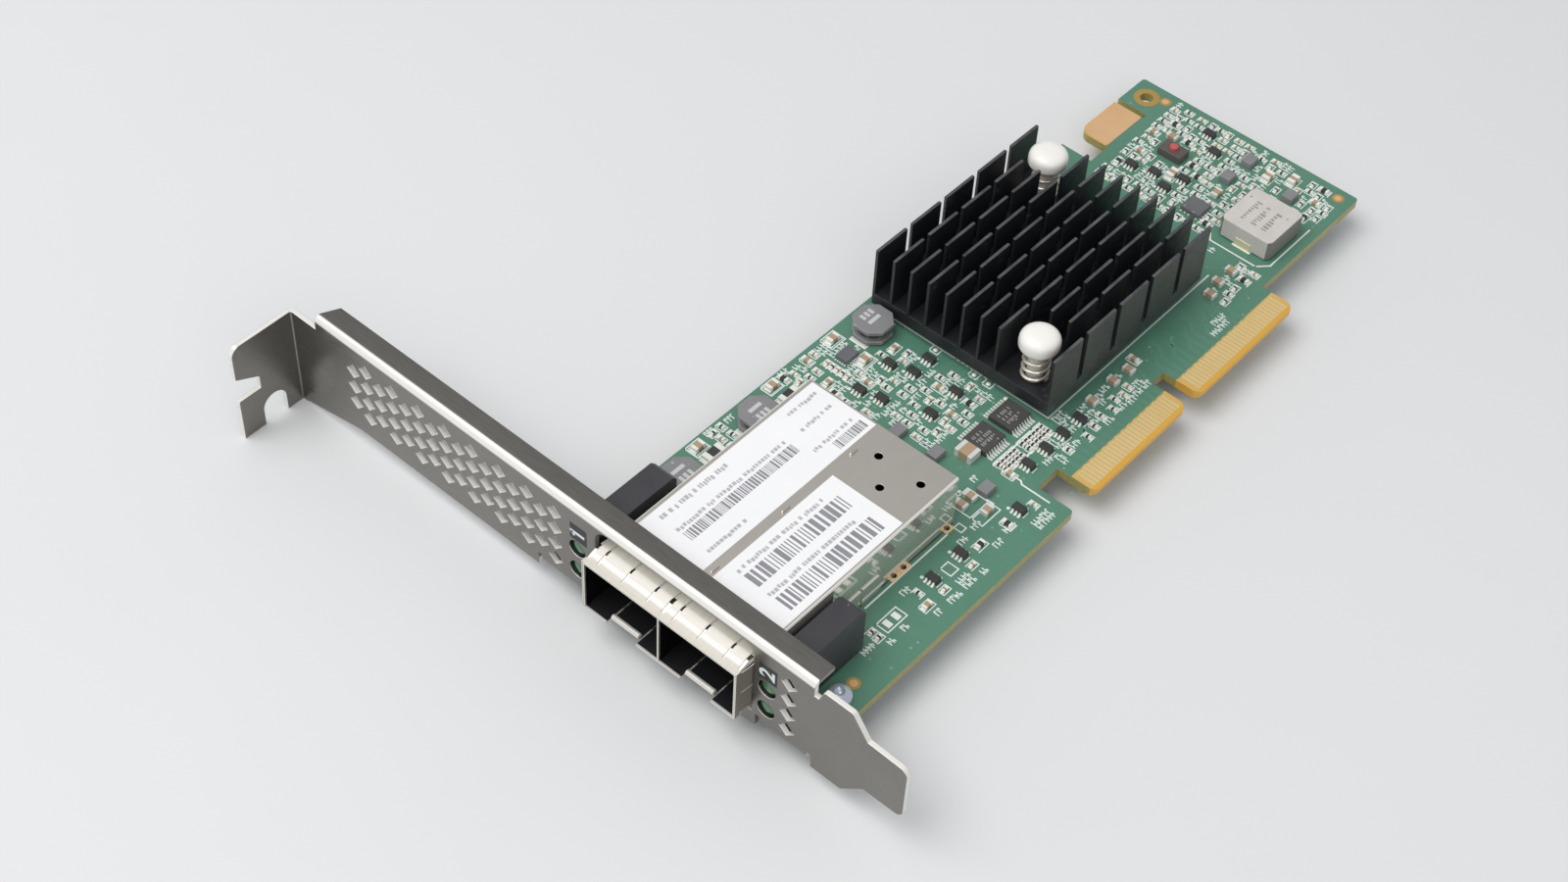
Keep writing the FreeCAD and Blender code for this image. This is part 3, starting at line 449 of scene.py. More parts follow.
# rows: name, colour, other colour, roughness from and to, grain, metallic share
platedRows = dict(
    gold=("contactGold", (242, 220, 166), (234, 208, 148), 0.28, 0.40),
    # paler copy of the copper, painted light against the cage's shadow on the lands
    land=("legLandCopperPaintedLit", (255, 226, 178), (250, 214, 162), 0.34, 0.46),
    copper=("landCopper", (244, 200, 152), (234, 188, 136), 0.30, 0.44),
    tin=("solderTin", (232, 232, 227), (216, 217, 213), 0.30, 0.46, 1400.0, 0.25),
    solder=("solderBright", (246, 245, 237), (236, 236, 228), 0.24, 0.40, 1400.0, 0.1),
    clip=("clipPaleGold", (240, 232, 200), (230, 220, 184), 0.26, 0.4, 900.0, 0.3),
)
# rows: name, colour, other colour, roughness from and to, grain, its depth in mm, colour of the dust
dustyRows = dict(
    trace=("coveredCopper", (92, 139, 118), (100, 146, 126), 0.28, 0.42, 900.0, 0.008, (140, 170, 154)),
    blackPlastic=("housingBlack", (56, 56, 60), (64, 64, 68), 0.40, 0.56, 1600.0, 0.01, (110, 110, 112)),
    switch=("switchBrown", (88, 81, 76), (100, 93, 88), 0.42, 0.58, 2000.0, 0.012, (140, 136, 132)),
    socket=("socketBlack", (22, 22, 23), (28, 28, 29), 0.45, 0.6, 1500.0, 0.008, (60, 60, 60)),
    chip=("chipEpoxy", (54, 54, 55), (64, 64, 65), 0.42, 0.58, 2400.0, 0.012, (120, 120, 120)),
    logic=("logicEpoxy", (70, 69, 68), (80, 79, 78), 0.42, 0.58, 2400.0, 0.012, (140, 140, 140)),
    quad=("quadEpoxy", (98, 100, 103), (112, 114, 117), 0.42, 0.58, 2400.0, 0.012, (150, 150, 150)),
    ferrite=("coilFerrite", (130, 130, 132), (142, 142, 144), 0.40, 0.58, 2000.0, 0.02, (176, 176, 176)),
    winding=("coilWinding", (44, 42, 41), (58, 54, 52), 0.45, 0.6, 2200.0, 0.02, (90, 88, 86)),
)
# rows as above, without dust
plasticRows = dict(
    laminate=("bareLaminate", (176, 144, 74), (162, 130, 62), 0.4, 0.55, 900.0, 0.006),
    ceramic=("ceramicTan", (182, 156, 130), (168, 142, 114), 0.34, 0.48, 1500.0, 0.006),
    darkFilm=("chipFilm", (50, 50, 52), (64, 64, 66), 0.34, 0.48, 1500.0, 0.006),
    paper=("labelPaper", (246, 246, 247), (241, 241, 242), 0.44, 0.56, 900.0, 0.006),
    ink=("labelInk", (136, 136, 141), (150, 150, 155), 0.5, 0.62, 1800.0, 0.002),
    paleInk=("labelPaleInk", (178, 178, 182), (192, 192, 196), 0.5, 0.62, 1800.0, 0.002),
    coilPrint=("coilPrint", (150, 146, 143), (162, 158, 155), 0.5, 0.62, 1800.0, 0.003),
    chipPrint=("chipPrint", (146, 145, 143), (158, 157, 155), 0.5, 0.62, 1800.0, 0.003),
    palePrint=("palePrint", (206, 206, 207), (192, 192, 194), 0.5, 0.62, 1800.0, 0.003),
    via=("tentedVia", (106, 152, 130), (120, 164, 142), 0.3, 0.42, 1800.0, 0.003),
    silk=("silkWhite", (236, 241, 238), (222, 230, 225), 0.5, 0.62, 1800.0, 0.004),
    plate=("plateBlack", (34, 36, 44), (42, 44, 52), 0.4, 0.52, 900.0, 0.003),
    red=("buttonRed", (208, 92, 96), (196, 80, 84), 0.3, 0.42, 900.0, 0.004),
    thermal=("padGrey", (168, 170, 174), (150, 152, 156), 0.6, 0.75, 1200.0, 0.01),
    floor=("floorPale", (226, 227, 228), (222, 223, 224), 0.6, 0.7, 40.0, 0.01),
)
finishes.update({key: makePlated(*row) for key, row in platedRows.items()})
finishes.update({key: makeDusty(*row) for key, row in dustyRows.items()})
finishes.update({key: makePlastic(*row).material for key, row in plasticRows.items()})
print("finishes made:", len(finishes))


# modelling helpers
def addBlock(bm, low, high):
    size = high - low
    matrix = Matrix.Translation((low + high) / 2) @ Matrix.Diagonal((size.x, size.y, size.z, 1.0))
    bmesh.ops.create_cube(bm, size=1.0, matrix=matrix)


def addPlate(bm, x0, y0, x1, y1, thick, base=boardHigh.z):  # block on a level face, thick in mm
    spans = [sorted(pair) for pair in ((x0, x1), (y0, y1), (base, base + thick * mm))]
    addBlock(bm, *map(Vector, zip(*spans)))


lifts = itertools.cycle((0.0, 0.003, 0.006))  # crossing strips never share a top face


def addBar(bm, start, end, width, height):  # low strip between two points on a level face
    run = end - start
    height += next(lifts) * mm
    turn = Matrix.Rotation(math.atan2(run.y, run.x), 4, "Z")
    size = Matrix.Diagonal((run.length + width, width, height, 1.0))
    middle = Matrix.Translation((start + end) / 2 + Vector((0, 0, height / 2)))
    bmesh.ops.create_cube(bm, size=1.0, matrix=middle @ turn @ size)


def addDisc(bm, centre, radius, height, sides):
    bmesh.ops.create_cone(bm, cap_ends=True, segments=sides, radius1=radius, radius2=radius, depth=height,
                          matrix=Matrix.Translation(centre + Vector((0, 0, height / 2))))


def spinRound(bm, geom, centre, sides):
    bmesh.ops.spin(bm, geom=geom, cent=centre, axis=(0, 0, 1), angle=math.tau, steps=sides, use_merge=True)


def addRing(bm, centre, inner, outer, height, sides):
    section = ((inner, 0), (outer, 0), (outer, height), (inner, height))
    corners = [bm.verts.new(centre + Vector((r, 0, z))) for r, z in section]
    face = bm.faces.new(corners)
    spinRound(bm, [face] + face.edges[:] + corners, centre, sides)


def addPrism(bm, corners, run):  # closed outline drawn out along a vector
    face = bm.faces.new([bm.verts.new(spot) for spot in corners])
    made = bmesh.ops.extrude_face_region(bm, geom=[face])["geom"]
    bmesh.ops.translate(bm, vec=run, verts=[v for v in made if isinstance(v, bmesh.types.BMVert)])


def arc(step, first, last):  # angles in radians, stepped in degrees
    return [math.radians(step * k) for k in range(first, last + 1)]


def middleOf(low, high, z=0.0):  # point on the upright axis of a box
    return Vector(((low.x + high.x) / 2, (low.y + high.y) / 2, z))


def turnProfile(bm, centre, profile, sides):  # lathe (radius, height) points round an upright axis
    verts = [bm.verts.new(centre + Vector((r * mm, 0, z * mm))) for r, z in profile]
    edges = [bm.edges.new(pair) for pair in zip(verts, verts[1:])]
    spinRound(bm, verts + edges, centre, sides)
    bmesh.ops.remove_doubles(bm, verts=bm.verts[:], dist=1e-7)


def smoothByAngle(mesh, degrees):
    bm = bmesh.new()
    bm.from_mesh(mesh)
    limit = math.radians(degrees)
    for face in bm.faces:
        face.smooth = True
    for edge in bm.edges:
        edge.smooth = len(edge.link_faces) == 2 and edge.calc_face_angle(0.0) < limit
    bm.to_mesh(mesh)
    bm.free()


def newObject(name, bm, finish):
    mesh = bpy.data.meshes.new(name)
    bm.to_mesh(mesh)
    bm.free()
    mesh.materials.append(finishes[finish])
    made = bpy.data.objects.new(name, mesh)
    bpy.context.scene.collection.objects.link(made)
    return made


def addPiece(name, bm, finish, body="card", replacing=(), bevel=0.0, angle=40.0, sort=True):
    if sort:
        bmesh.ops.recalc_face_normals(bm, faces=bm.faces[:])
    piece = newObject(name, bm, finish)
    smoothByAngle(piece.data, angle)
    if bevel:
        edge = piece.modifiers.new("softEdges", "BEVEL")
        edge.width = bevel * mm
        edge.segments = 2
        edge.limit_method = "ANGLE"
        edge.angle_limit = math.radians(35)
        edge.harden_normals = True
        edge.loop_slide = False  # sliding folds the large faces over at their corners
    if replacing:
        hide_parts(*replacing)
    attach(piece, body)
    return piece


def copyOf(node, flatten=True):  # merged copy of a CAD node's mesh
    bm = bmesh.new()
    bm.from_mesh(nodes[node].data)
    bmesh.ops.remove_doubles(bm, verts=bm.verts[:], dist=1e-6)
    if flatten:
        bmesh.ops.dissolve_limit(bm, angle_limit=math.radians(0.5), verts=bm.verts[:], edges=bm.edges[:])
    return bm


def solidBoxes(node):  # corners of each separate solid in a node
    bm = copyOf(node, False)
    left = set(bm.verts)
    boxes = []
    while left:
        reached = [left.pop()]
        for vert in reached:
            for edge in vert.link_edges:
                other = edge.other_vert(vert)
                if other in left:
                    left.discard(other)
                    reached.append(other)
        spots = [v.co for v in reached]
        boxes.append((Vector(map(min, *spots)), Vector(map(max, *spots))))
    bm.free()
    return boxes


# CAD nodes with softened edges: node, piece, finish, slot, edge radius in mm
softNodes = [
    ("bracket", "slotBracket", "bracket", "bracket_steel", 0.2),
    ("cage_shell", "cageShell", "cage", "cage_steel", 0.06),
    ("cage_floor", "cageFloor", "cageFloor", "cage_steel", 0.06),
    ("cage_divider", "cageDivider", "cage", "cage_steel", 0.06),
    ("emi_collar", "springCollar", "collar", "collar_nickel", 0.05),
    ("led_housing_1", "lightHousingNear", "blackPlastic", "black_plastic", 0.15),
    ("led_housing_2", "lightHousingFar", "blackPlastic", "black_plastic", 0.15),
    ("heat_sink", "finBlock", "sink", "sink_black", 0.07),
    ("power_coil", "powerCoil", "powder", "coil_grey", 0.25),
    ("logic_chip_1", "logicChipNear", "logic", "chip_black", 0.08),
    ("logic_chip_2", "logicChipFar", "logic", "chip_black", 0.08),
    ("sot_chips", "smallChips", "chip", "chip_black", 0.08),
    ("quad_chips", "flatChips", "quad", "chip_black", 0.05),
    ("chokes", "chokeBlocks", "ferrite", "coil_black", 0.10),
    ("ceramic_caps", "ceramicBodies", "ceramic", "ceramic_tan", 0.05),
    ("plated_ends", "ceramicEnds", "tin", "tin", 0.08),
    ("reset_switch", "switchBody", "switch", "black_plastic", 0.10),
    ("port_socket_1", "portSocketNear", "socket", "black_plastic", 0.08),
    ("port_socket_2", "portSocketFar", "socket", "black_plastic", 0.08),
    ("coil_1", "drumCoilNear", "ferrite", "coil_black", 0.2),
    ("coil_2", "drumCoilMiddle", "ferrite", "coil_black", 0.2),
    ("coil_3", "drumCoilFar", "ferrite", "coil_black", 0.2),
    ("board", "circuitBoard", "board", "board_green", 0.05),
    ("power_coil_terminals", "powerCoilClips", "clip", "tin", 0.05),
    ("label_main", "cageLabelMain", "paper", "paper_white", 0.0),
    ("label_ports", "cageLabelPorts", "paper", "paper_white", 0.0),
]
for node, name, finish, slot, radius in softNodes:
    addPiece(name, copyOf(node), finish, replacing=(node,), bevel=radius, sort=False)
plainNodes = dict(edge_contacts="gold", hook_plating="copper", port_contacts="gold", controller_chip="chip",
                  thermal_pad="thermal", coil_terminals="tin", logic_leads="tin")
for node, finish in plainNodes.items():
    for place in nodes[node].material_slots:
        place.material = finishes[finish]
print("CAD nodes dressed")

# sheet of painted light under the slits of the spring collar, lifting their shade, in mm in front of (-) and
# behind the bracket's face
collarSlitLightSheet = dict(front=(-2.2, -0.45), rear=(0.6, 4.55), foot=4.6, lip=-2.2, sheet=0.2, under=0.09,
                   thick=0.05, inset=0.4)


def lineCollar(s):
    low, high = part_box("emi_collar")
    left, right = low.x + s["inset"] * mm, high.x - s["inset"] * mm
    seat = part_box("cage_shell")[1].z + s["sheet"] * mm
    bm = bmesh.new()
    for start, end in (s["front"], s["rear"]):
        corners = []
        for x, y in ((left, start), (right, start), (right, end), (left, end)):
            share = 1 - (y / s["lip"] if y < 0 else y / s["foot"])
            corners.append((x, bracketFace + y * mm, seat + (high.z - seat) * share - s["under"] * mm))
        addPrism(bm, corners, (0, 0, -s["thick"] * mm))
    # sheet of painted light that lifts the shade in the slits
    addPiece("collarSlitLightSheet", bm, "collar")


# tabs of the floor folded up outside the cage's walls, in mm back and up from the board's front edge
floorTabs = dict(thick=0.22, edge=0.24, edgeTall=0.06, outlines=[
    [(19.0, 0.05), (21.9, 0.05), (21.9, 3.75), (19.0, 3.75)],
    [(22.3, 0.05), (26.3, 0.05), (27.2, 0.85), (27.45, 1.7), (26.5, 2.5), (25.9, 3.75), (22.3, 3.75)]])


def foldFloorTabs(s):
    plates, edges = bmesh.new(), bmesh.new()
    low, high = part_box("cage_shell")
    for x, out in ((low.x, -1), (high.x, 1)):
        for outline in s["outlines"]:
            corners = [(x, at(0, v).y, at(0, 0, z).z) for v, z in outline]
            addPrism(plates, corners, (out * s["thick"] * mm, 0, 0))
            top = max(z for v, z in outline)
            ends = sorted(at(0, v).y for v, z in outline if z == top)
            addPlate(edges, x, ends[0], x + out * s["edge"] * mm, ends[1], s["edgeTall"], at(0, 0, top).z)
    addPiece("floorTabs", plates, "cage", bevel=0.05)
    addPiece("floorTabEdges", edges, "solder")


lineCollar(collarSlitLightSheet)
foldFloorTabs(floorTabs)

# push pins, springs, screws, lenses and button, in mm
pinShape = dict(head=3.3, rise=3.0, rim=1.0, lip=0.55, square=0.72, shaft=1.4, chamfer=0.1, sides=48,
                gap=0.05, barbHalf=1.85, barbTall=0.5, barbWide=1.5, barbRound=0.08, tipHalf=0.7, split=0.25)


def addBarb(bm, centre, tip, top, s):  # two halves of the snap barb, with a slot between them
    outline = [(s["split"], tip), (s["tipHalf"], tip), (s["barbHalf"], top - s["barbTall"]),
               (s["barbHalf"], top), (s["split"], top)]
    for side in (-1, 1):
        corners = [centre + Vector((side * u, -s["barbWide"] / 2, z)) * mm for u, z in outline]
        addPrism(bm, corners, (0, s["barbWide"] * mm, 0))
    bmesh.ops.bevel(bm, geom=bm.edges[:], offset=s["barbRound"] * mm, affect="EDGES", segments=2,
                    profile=0.5, material=-1)


def makePin(node, name, body, s):
    low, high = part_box(node)
    centre = middleOf(low, high)
    tall = high.z / mm
    under = tall - s["rise"]
    r, lip, rim, power = s["head"], s["lip"], s["rim"], s["square"]
    foot = boardLow.z / mm - s["gap"]
    bm = bmesh.new()
    addBarb(bm, centre, low.z / mm, foot, s)
    shaft = [(0, foot), (s["shaft"] - s["chamfer"], foot),
             (s["shaft"], foot + s["chamfer"]), (s["shaft"], under)]
    edge = [(r - lip + lip * math.sin(a), under + lip - lip * math.cos(a)) for a in arc(18, 0, 5)]
    brim, dome = under + rim, s["rise"] - rim
    crown = [(r * math.cos(a) ** power, brim + dome * math.sin(a) ** power) for a in arc(9, 1, 9)]
    turnProfile(bm, centre, shaft + edge + [(r, brim)] + crown + [(0, tall)], s["sides"])
    addPiece(name, bm, "pin", body, (node,), angle=50)


springShape = dict(turns=4.5, seatTurns=0.75, seatGap=0.1, wire=0.29, steps=26, sides=8, travel=2.0)


def makeSpring(node, name, s):  # closed turns at both ends, open ones between
    low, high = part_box(node)
    centre, tall = middleOf(low, high, low.z), high.z - low.z
    wire = s["wire"] * mm
    radius = (high.x - low.x) / 2 - wire
    seatRise = s["seatTurns"] * (2 * wire + s["seatGap"] * mm)
    seat = (s["seatTurns"], seatRise)
    between = (s["turns"] - 2 * s["seatTurns"], tall - 2 * wire - 2 * seatRise)
    bm = bmesh.new()
    place = Matrix.Translation(centre + Vector((radius, 0, wire))) @ Matrix.Rotation(math.pi / 2, 4, "X")
    ring = bmesh.ops.create_circle(bm, segments=s["sides"], radius=wire, matrix=place)["verts"]
    geom = ring + bm.edges[:]
    for turns, rise in (seat, between, seat):
        steps = round(turns * s["steps"])
        geom = bmesh.ops.spin(bm, geom=geom, cent=centre, axis=(0, 0, 1), dvec=(0, 0, rise / steps),
                              angle=math.tau * turns, steps=steps)["geom_last"]
    bmesh.ops.holes_fill(bm, edges=[e for e in bm.edges if e.is_boundary], sides=s["sides"])
    piece = addPiece(name, bm, "spring", "card", (node,), angle=60)
    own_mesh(piece)


screwShape = dict(head=1.9, tall=1.5, rim=0.55, shank=1.0, tip=0.8, taper=0.25, sides=36,
                  well=(0.95, 0.12), wellFoot=(0.42, 0.7), wellPoint=0.8)  # radii and depths of the well


def makeScrews(s):
    bm = bmesh.new()
    seat = boardHigh.z / mm
    top, rim, rise = seat + s["tall"], seat + s["rim"], s["tall"] - s["rim"]
    for low, high in solidBoxes("bracket_screws"):
        foot = low.z / mm
        shank = [(0, foot), (s["tip"], foot), (s["shank"], foot + s["taper"]), (s["shank"], seat)]
        crown = [(s["head"] * math.cos(a), rim + rise * math.sin(a)) for a in arc(11, 1, 6)]
        well = [(radius, top - deep) for radius, deep in (s["well"], s["wellFoot"], (0, s["wellPoint"]))]
        profile = shank + [(s["head"], seat), (s["head"], rim)] + crown + well
        turnProfile(bm, middleOf(low, high), profile, s["sides"])
    addPiece("bracketScrews", bm, "screw", replacing=("bracket_screws",), angle=35)


lensShape = dict(dome=0.42, sides=36)


def makeLenses(s):
    bm = bmesh.new()
    for low, high in solidBoxes("led_lenses"):
        radius, depth = (high.x - low.x) / 2 / mm, (high.y - low.y) / mm
        dome = [(radius * math.cos(a), depth - s["dome"] + s["dome"] * math.sin(a)) for a in arc(15, 0, 6)]
        earlier = set(bm.verts)
        turnProfile(bm, Vector(), [(0, 0), (radius, 0)] + dome, s["sides"])
        place = Vector(((low.x + high.x) / 2, high.y, (low.z + high.z) / 2))
        turn = Matrix.Translation(place) @ Matrix.Rotation(math.pi / 2, 4, "X")
        bmesh.ops.transform(bm, matrix=turn, verts=[v for v in bm.verts if v not in earlier])
    addPiece("lightPipeEnds", bm, "lens", replacing=("led_lenses",), angle=40)


buttonShape = dict(shoulder=[(0.0, 0.15), (0.06, 0.04), (0.18, 0.0)], sides=28)  # inwards and down


def makeButton(s):
    low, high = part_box("switch_button")
    r, foot, top = (high.x - low.x) / 2 / mm, low.z / mm, high.z / mm
    bm = bmesh.new()
    shoulder = [(r - inward, top - down) for inward, down in s["shoulder"]]
    turnProfile(bm, middleOf(low, high), [(0, foot), (r, foot)] + shoulder + [(0, top)], s["sides"])
    addPiece("switchButton", bm, "red", replacing=("switch_button",), angle=30)


makePin("push_pin_1", "pushPinNear", "near_pin", pinShape)
makePin("push_pin_2", "pushPinFar", "far_pin", pinShape)
makeSpring("pin_spring_1", "pinSpringNear", springShape)
makeSpring("pin_spring_2", "pinSpringFar", springShape)
makeScrews(screwShape)
makeLenses(lensShape)
makeButton(buttonShape)
print("pins, springs, screws and lenses made")

# print on the labels, bars and dashes only
labelPrint = dict(
    thick=0.012, seed=41, dash=(0.30, 0.62), least=0.4, shifts=(0.0, 0.0, 0.16),
    gaps=(0.16, 0.16, 0.16, 0.2, 0.62),
    rows=[  # node, across, tall, start, end
        ("label_main", 1.25, 0.80, 2.8, 16.6), ("label_main", 1.45, 0.60, 29.9, 36.2),
        ("label_main", 4.55, 0.62, 2.7, 25.6), ("label_main", 4.75, 0.60, 28.9, 35.7),
        ("label_main", 8.75, 0.60, 27.2, 35.7), ("label_main", 10.3, 0.60, 2.9, 11.0),
        ("label_ports", 1.55, 0.65, 3.0, 21.3), ("label_ports", 7.45, 0.65, 2.9, 21.7)],
    bars=[  # node, left, right, start, end, thin, wide
        ("label_main", 5.75, 7.65, 2.9, 26.0, 0.13, 0.42),
        ("label_main", 10.0, 11.7, 30.2, 36.7, 0.13, 0.40),
        ("label_ports", 3.0, 5.9, 3.1, 23.3, 0.22, 0.85),
        ("label_ports", 8.8, 11.8, 3.1, 23.3, 0.22, 0.85)])


def printLabels(s):
    dice = random.Random(s["seed"])
    rows, codes = bmesh.new(), bmesh.new()
    for node, across, tall, start, end in s["rows"]:
        low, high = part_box(node)
        v = start
        while v < end - s["least"]:
            length = min(dice.uniform(*s["dash"]), end - v)
            corner = Vector((low.x + (across + dice.choice(s["shifts"])) * mm, low.y + v * mm, high.z))
            addBlock(rows, corner, corner + Vector((tall, length, s["thick"])) * mm)
            v += length + dice.choice(s["gaps"])
    for node, left, right, start, end, thin, wide in s["bars"]:
        low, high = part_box(node)
        v = start
        while v < end - thin:
            length = min(dice.choice((thin, thin, (thin + wide) / 2, wide)), end - v)
            corner = Vector((low.x + left * mm, low.y + v * mm, high.z))
            addBlock(codes, corner, corner + Vector((right - left, length, s["thick"])) * mm)
            v += length + dice.uniform(thin, (thin + wide) / 2)
    addPiece("labelDashes", rows, "paleInk")
    addPiece("labelBars", codes, "ink")


# plain numbers beside the ports, stuck on the outer face of the bracket
portNumbers = dict(marks=[("1", 6.5), ("2", 42.0)], rise=10.1, side=3.2, thick=0.03, glyph=3.8, bold=0.09,
                   relief=0.01, lift=0.012, flagFrom=-1.25, flagRun=(0.5, 0.0, -0.75), flag=(0.02, 0.42))


def makePortNumbers(s):
    plates, digits = bmesh.new(), bmesh.new()
    for body, u in s["marks"]:
        middle = at(u, 0, s["rise"])
        middle.y = bracketFace - (s["thick"] + s["lift"]) * mm
        half = Vector((s["side"], 0, s["side"])) * mm / 2
        plate = Vector((middle.x, bracketFace, middle.z))
        addBlock(plates, plate - half - Vector((0, s["thick"] * mm, 0)), plate + half)
        curve = bpy.data.curves.new("digit", "FONT")
        curve.body = body
        curve.size = s["glyph"] * mm
        curve.align_x = "CENTER"
        curve.align_y = "CENTER"
        curve.extrude = s["relief"] * mm
        curve.offset = s["bold"] * mm
        curve.resolution_u = 4
        holder = bpy.data.objects.new("digit", curve)
        bpy.context.scene.collection.objects.link(holder)
        bpy.context.view_layer.update()
        mesh = bpy.data.meshes.new_from_object(holder.evaluated_get(bpy.context.evaluated_depsgraph_get()))
        turn = Matrix(((0, -1, 0, 0), (0, 0, -1, 0), (1, 0, 0, 0), (0, 0, 0, 1)))  # digits on their side
        mesh.transform(Matrix.Translation(middle) @ turn)
        digits.from_mesh(mesh)
        if body == "1":  # a longer flag than the font gives
            start, run = middle + Vector((s["flagFrom"] * mm, 0, 0)), Vector(s["flagRun"]) * mm
            size = Matrix.Diagonal((run.length, s["flag"][0] * mm, s["flag"][1] * mm, 1.0))
            lean = Matrix.Rotation(math.atan2(-run.z, run.x), 4, "Y") @ size
            bmesh.ops.create_cube(digits, size=1.0, matrix=Matrix.Translation(start + run / 2) @ lean)
        bpy.data.objects.remove(holder)
        bpy.data.curves.remove(curve)
        bpy.data.meshes.remove(mesh)
    addPiece("portNumberPlates", plates, "plate")
    addPiece("portNumberDigits", digits, "silk", sort=False)


printLabels(labelPrint)
makePortNumbers(portNumbers)
print("labels and port numbers printed")

# small parts on the board
taken = []  # boxes on the top face that already hold something, in mm from the board's corner


def take(u0, v0, u1, v1):
    taken.append((min(u0, u1), min(v0, v1), max(u0, u1), max(v0, v1)))


def free(u0, v0, u1, v1, gap=0.16):
    return all(u1 + gap < a or u0 - gap > c or v1 + gap < b or v0 - gap > d for a, b, c, d in taken)


def spotOf(point):
    return (point.x - boardLow.x) / mm, (point.y - boardLow.y) / mm


def takeBoxes(boxes, reach=0.0):
    grow = Vector((0, reach * mm, 0))
    for low, high in boxes:
        take(*spotOf(low - grow), *spotOf(high + grow))


wholeNodes = ("cage_shell", "led_housing_1", "led_housing_2", "heat_sink", "coil_1", "coil_2", "coil_3",
              "power_coil", "logic_leads", "reset_switch")
splitNodes = ("power_coil_terminals", "coil_terminals", "bracket_screws", "quad_chips", "chokes",
              "ceramic_caps", "plated_ends")
takeBoxes(map(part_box, wholeNodes))
for node in splitNodes:
    takeBoxes(solidBoxes(node))
takeBoxes(solidBoxes("sot_chips"), 0.5)
take(6.0, 68.2, 37.0, 70.4)  # line of test points in front of the heat sink
fiducials, fiducialRoom = [(6.4, 142.7), (41.8, 142.9), (47.0, 11.3)], 1.0
for u, v in fiducials:
    take(u - fiducialRoom, v - fiducialRoom, u + fiducialRoom, v + fiducialRoom)

# start, end and height in mm out from the chip's side
chipLeads = dict(half=0.16, padHalf=0.2, pitch=0.65, foot=(0.10, 0.5, 0.14), shin=(0.0, 0.16, 0.42),
                 pad=(-0.05, 0.64, 0.03), quadCount=5, quadHalf=0.13, quadPad=(-0.1, 0.28, 0.05),
                 logicPad=(-0.6, 0.25, 0.03), logicSpare=0.06,
                 dot=(-0.42, -0.1, 0.3, 12), quadDot=(-0.4, 0.3, 0.22, 10), dotThick=0.02)


def makeChipLeads(s):
    leads, pads, dots = bmesh.new(), bmesh.new(), bmesh.new()

    def plate(bm, axis, edge, side, middle, half, span):  # from a chip's side, outwards along X or Y
        out = [edge + side * reach * mm for reach in span[:2]]
        across = (middle - half * mm, middle + half * mm)
        if axis == "x":
            addPlate(bm, out[0], across[0], out[1], across[1], span[2])
        else:
            addPlate(bm, across[0], out[0], across[1], out[1], span[2])

    def dot(x, y, right, back, radius, sides):
        centre = Vector((x + right * mm, y + back * mm, boardHigh.z))
        addDisc(dots, centre, radius * mm, s["dotThick"] * mm, sides)

    for low, high in solidBoxes("sot_chips"):
        for edge, side in ((low.y, -1), (high.y, 1)):
            for k in (-1, 0, 1):
                x = (low.x + high.x) / 2 + k * s["pitch"] * mm
                plate(leads, "y", edge, side, x, s["half"], s["foot"])
                plate(leads, "y", edge, side, x, s["half"], s["shin"])
                plate(pads, "y", edge, side, x, s["padHalf"], s["pad"])
        dot(low.x, low.y, *s["dot"])
    for low, high in solidBoxes("quad_chips"):
        for share in ((k + 0.5) / s["quadCount"] for k in range(s["quadCount"])):
            for edge, side in ((low.x, -1), (high.x, 1)):
                plate(pads, "x", edge, side, low.y + share * (high.y - low.y), s["quadHalf"], s["quadPad"])
            for edge, side in ((low.y, -1), (high.y, 1)):
                plate(pads, "y", edge, side, low.x + share * (high.x - low.x), s["quadHalf"], s["quadPad"])
        dot(low.x, high.y, *s["quadDot"])
    middle = sum(corner.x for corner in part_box("logic_chip_1")) / 2
    for low, high in solidBoxes("logic_leads"):
        edge, side = (high.x, 1) if low.x > middle else (low.x, -1)
        half = (high.y - low.y) / 2 / mm + s["logicSpare"]
        plate(pads, "x", edge, side, (low.y + high.y) / 2, half, s["logicPad"])
    addPiece("smallChipLeads", leads, "solder")
    addPiece("chipPads", pads, "solder")
    addPiece("firstPinDots", dots, "silk")


makeChipLeads(chipLeads)

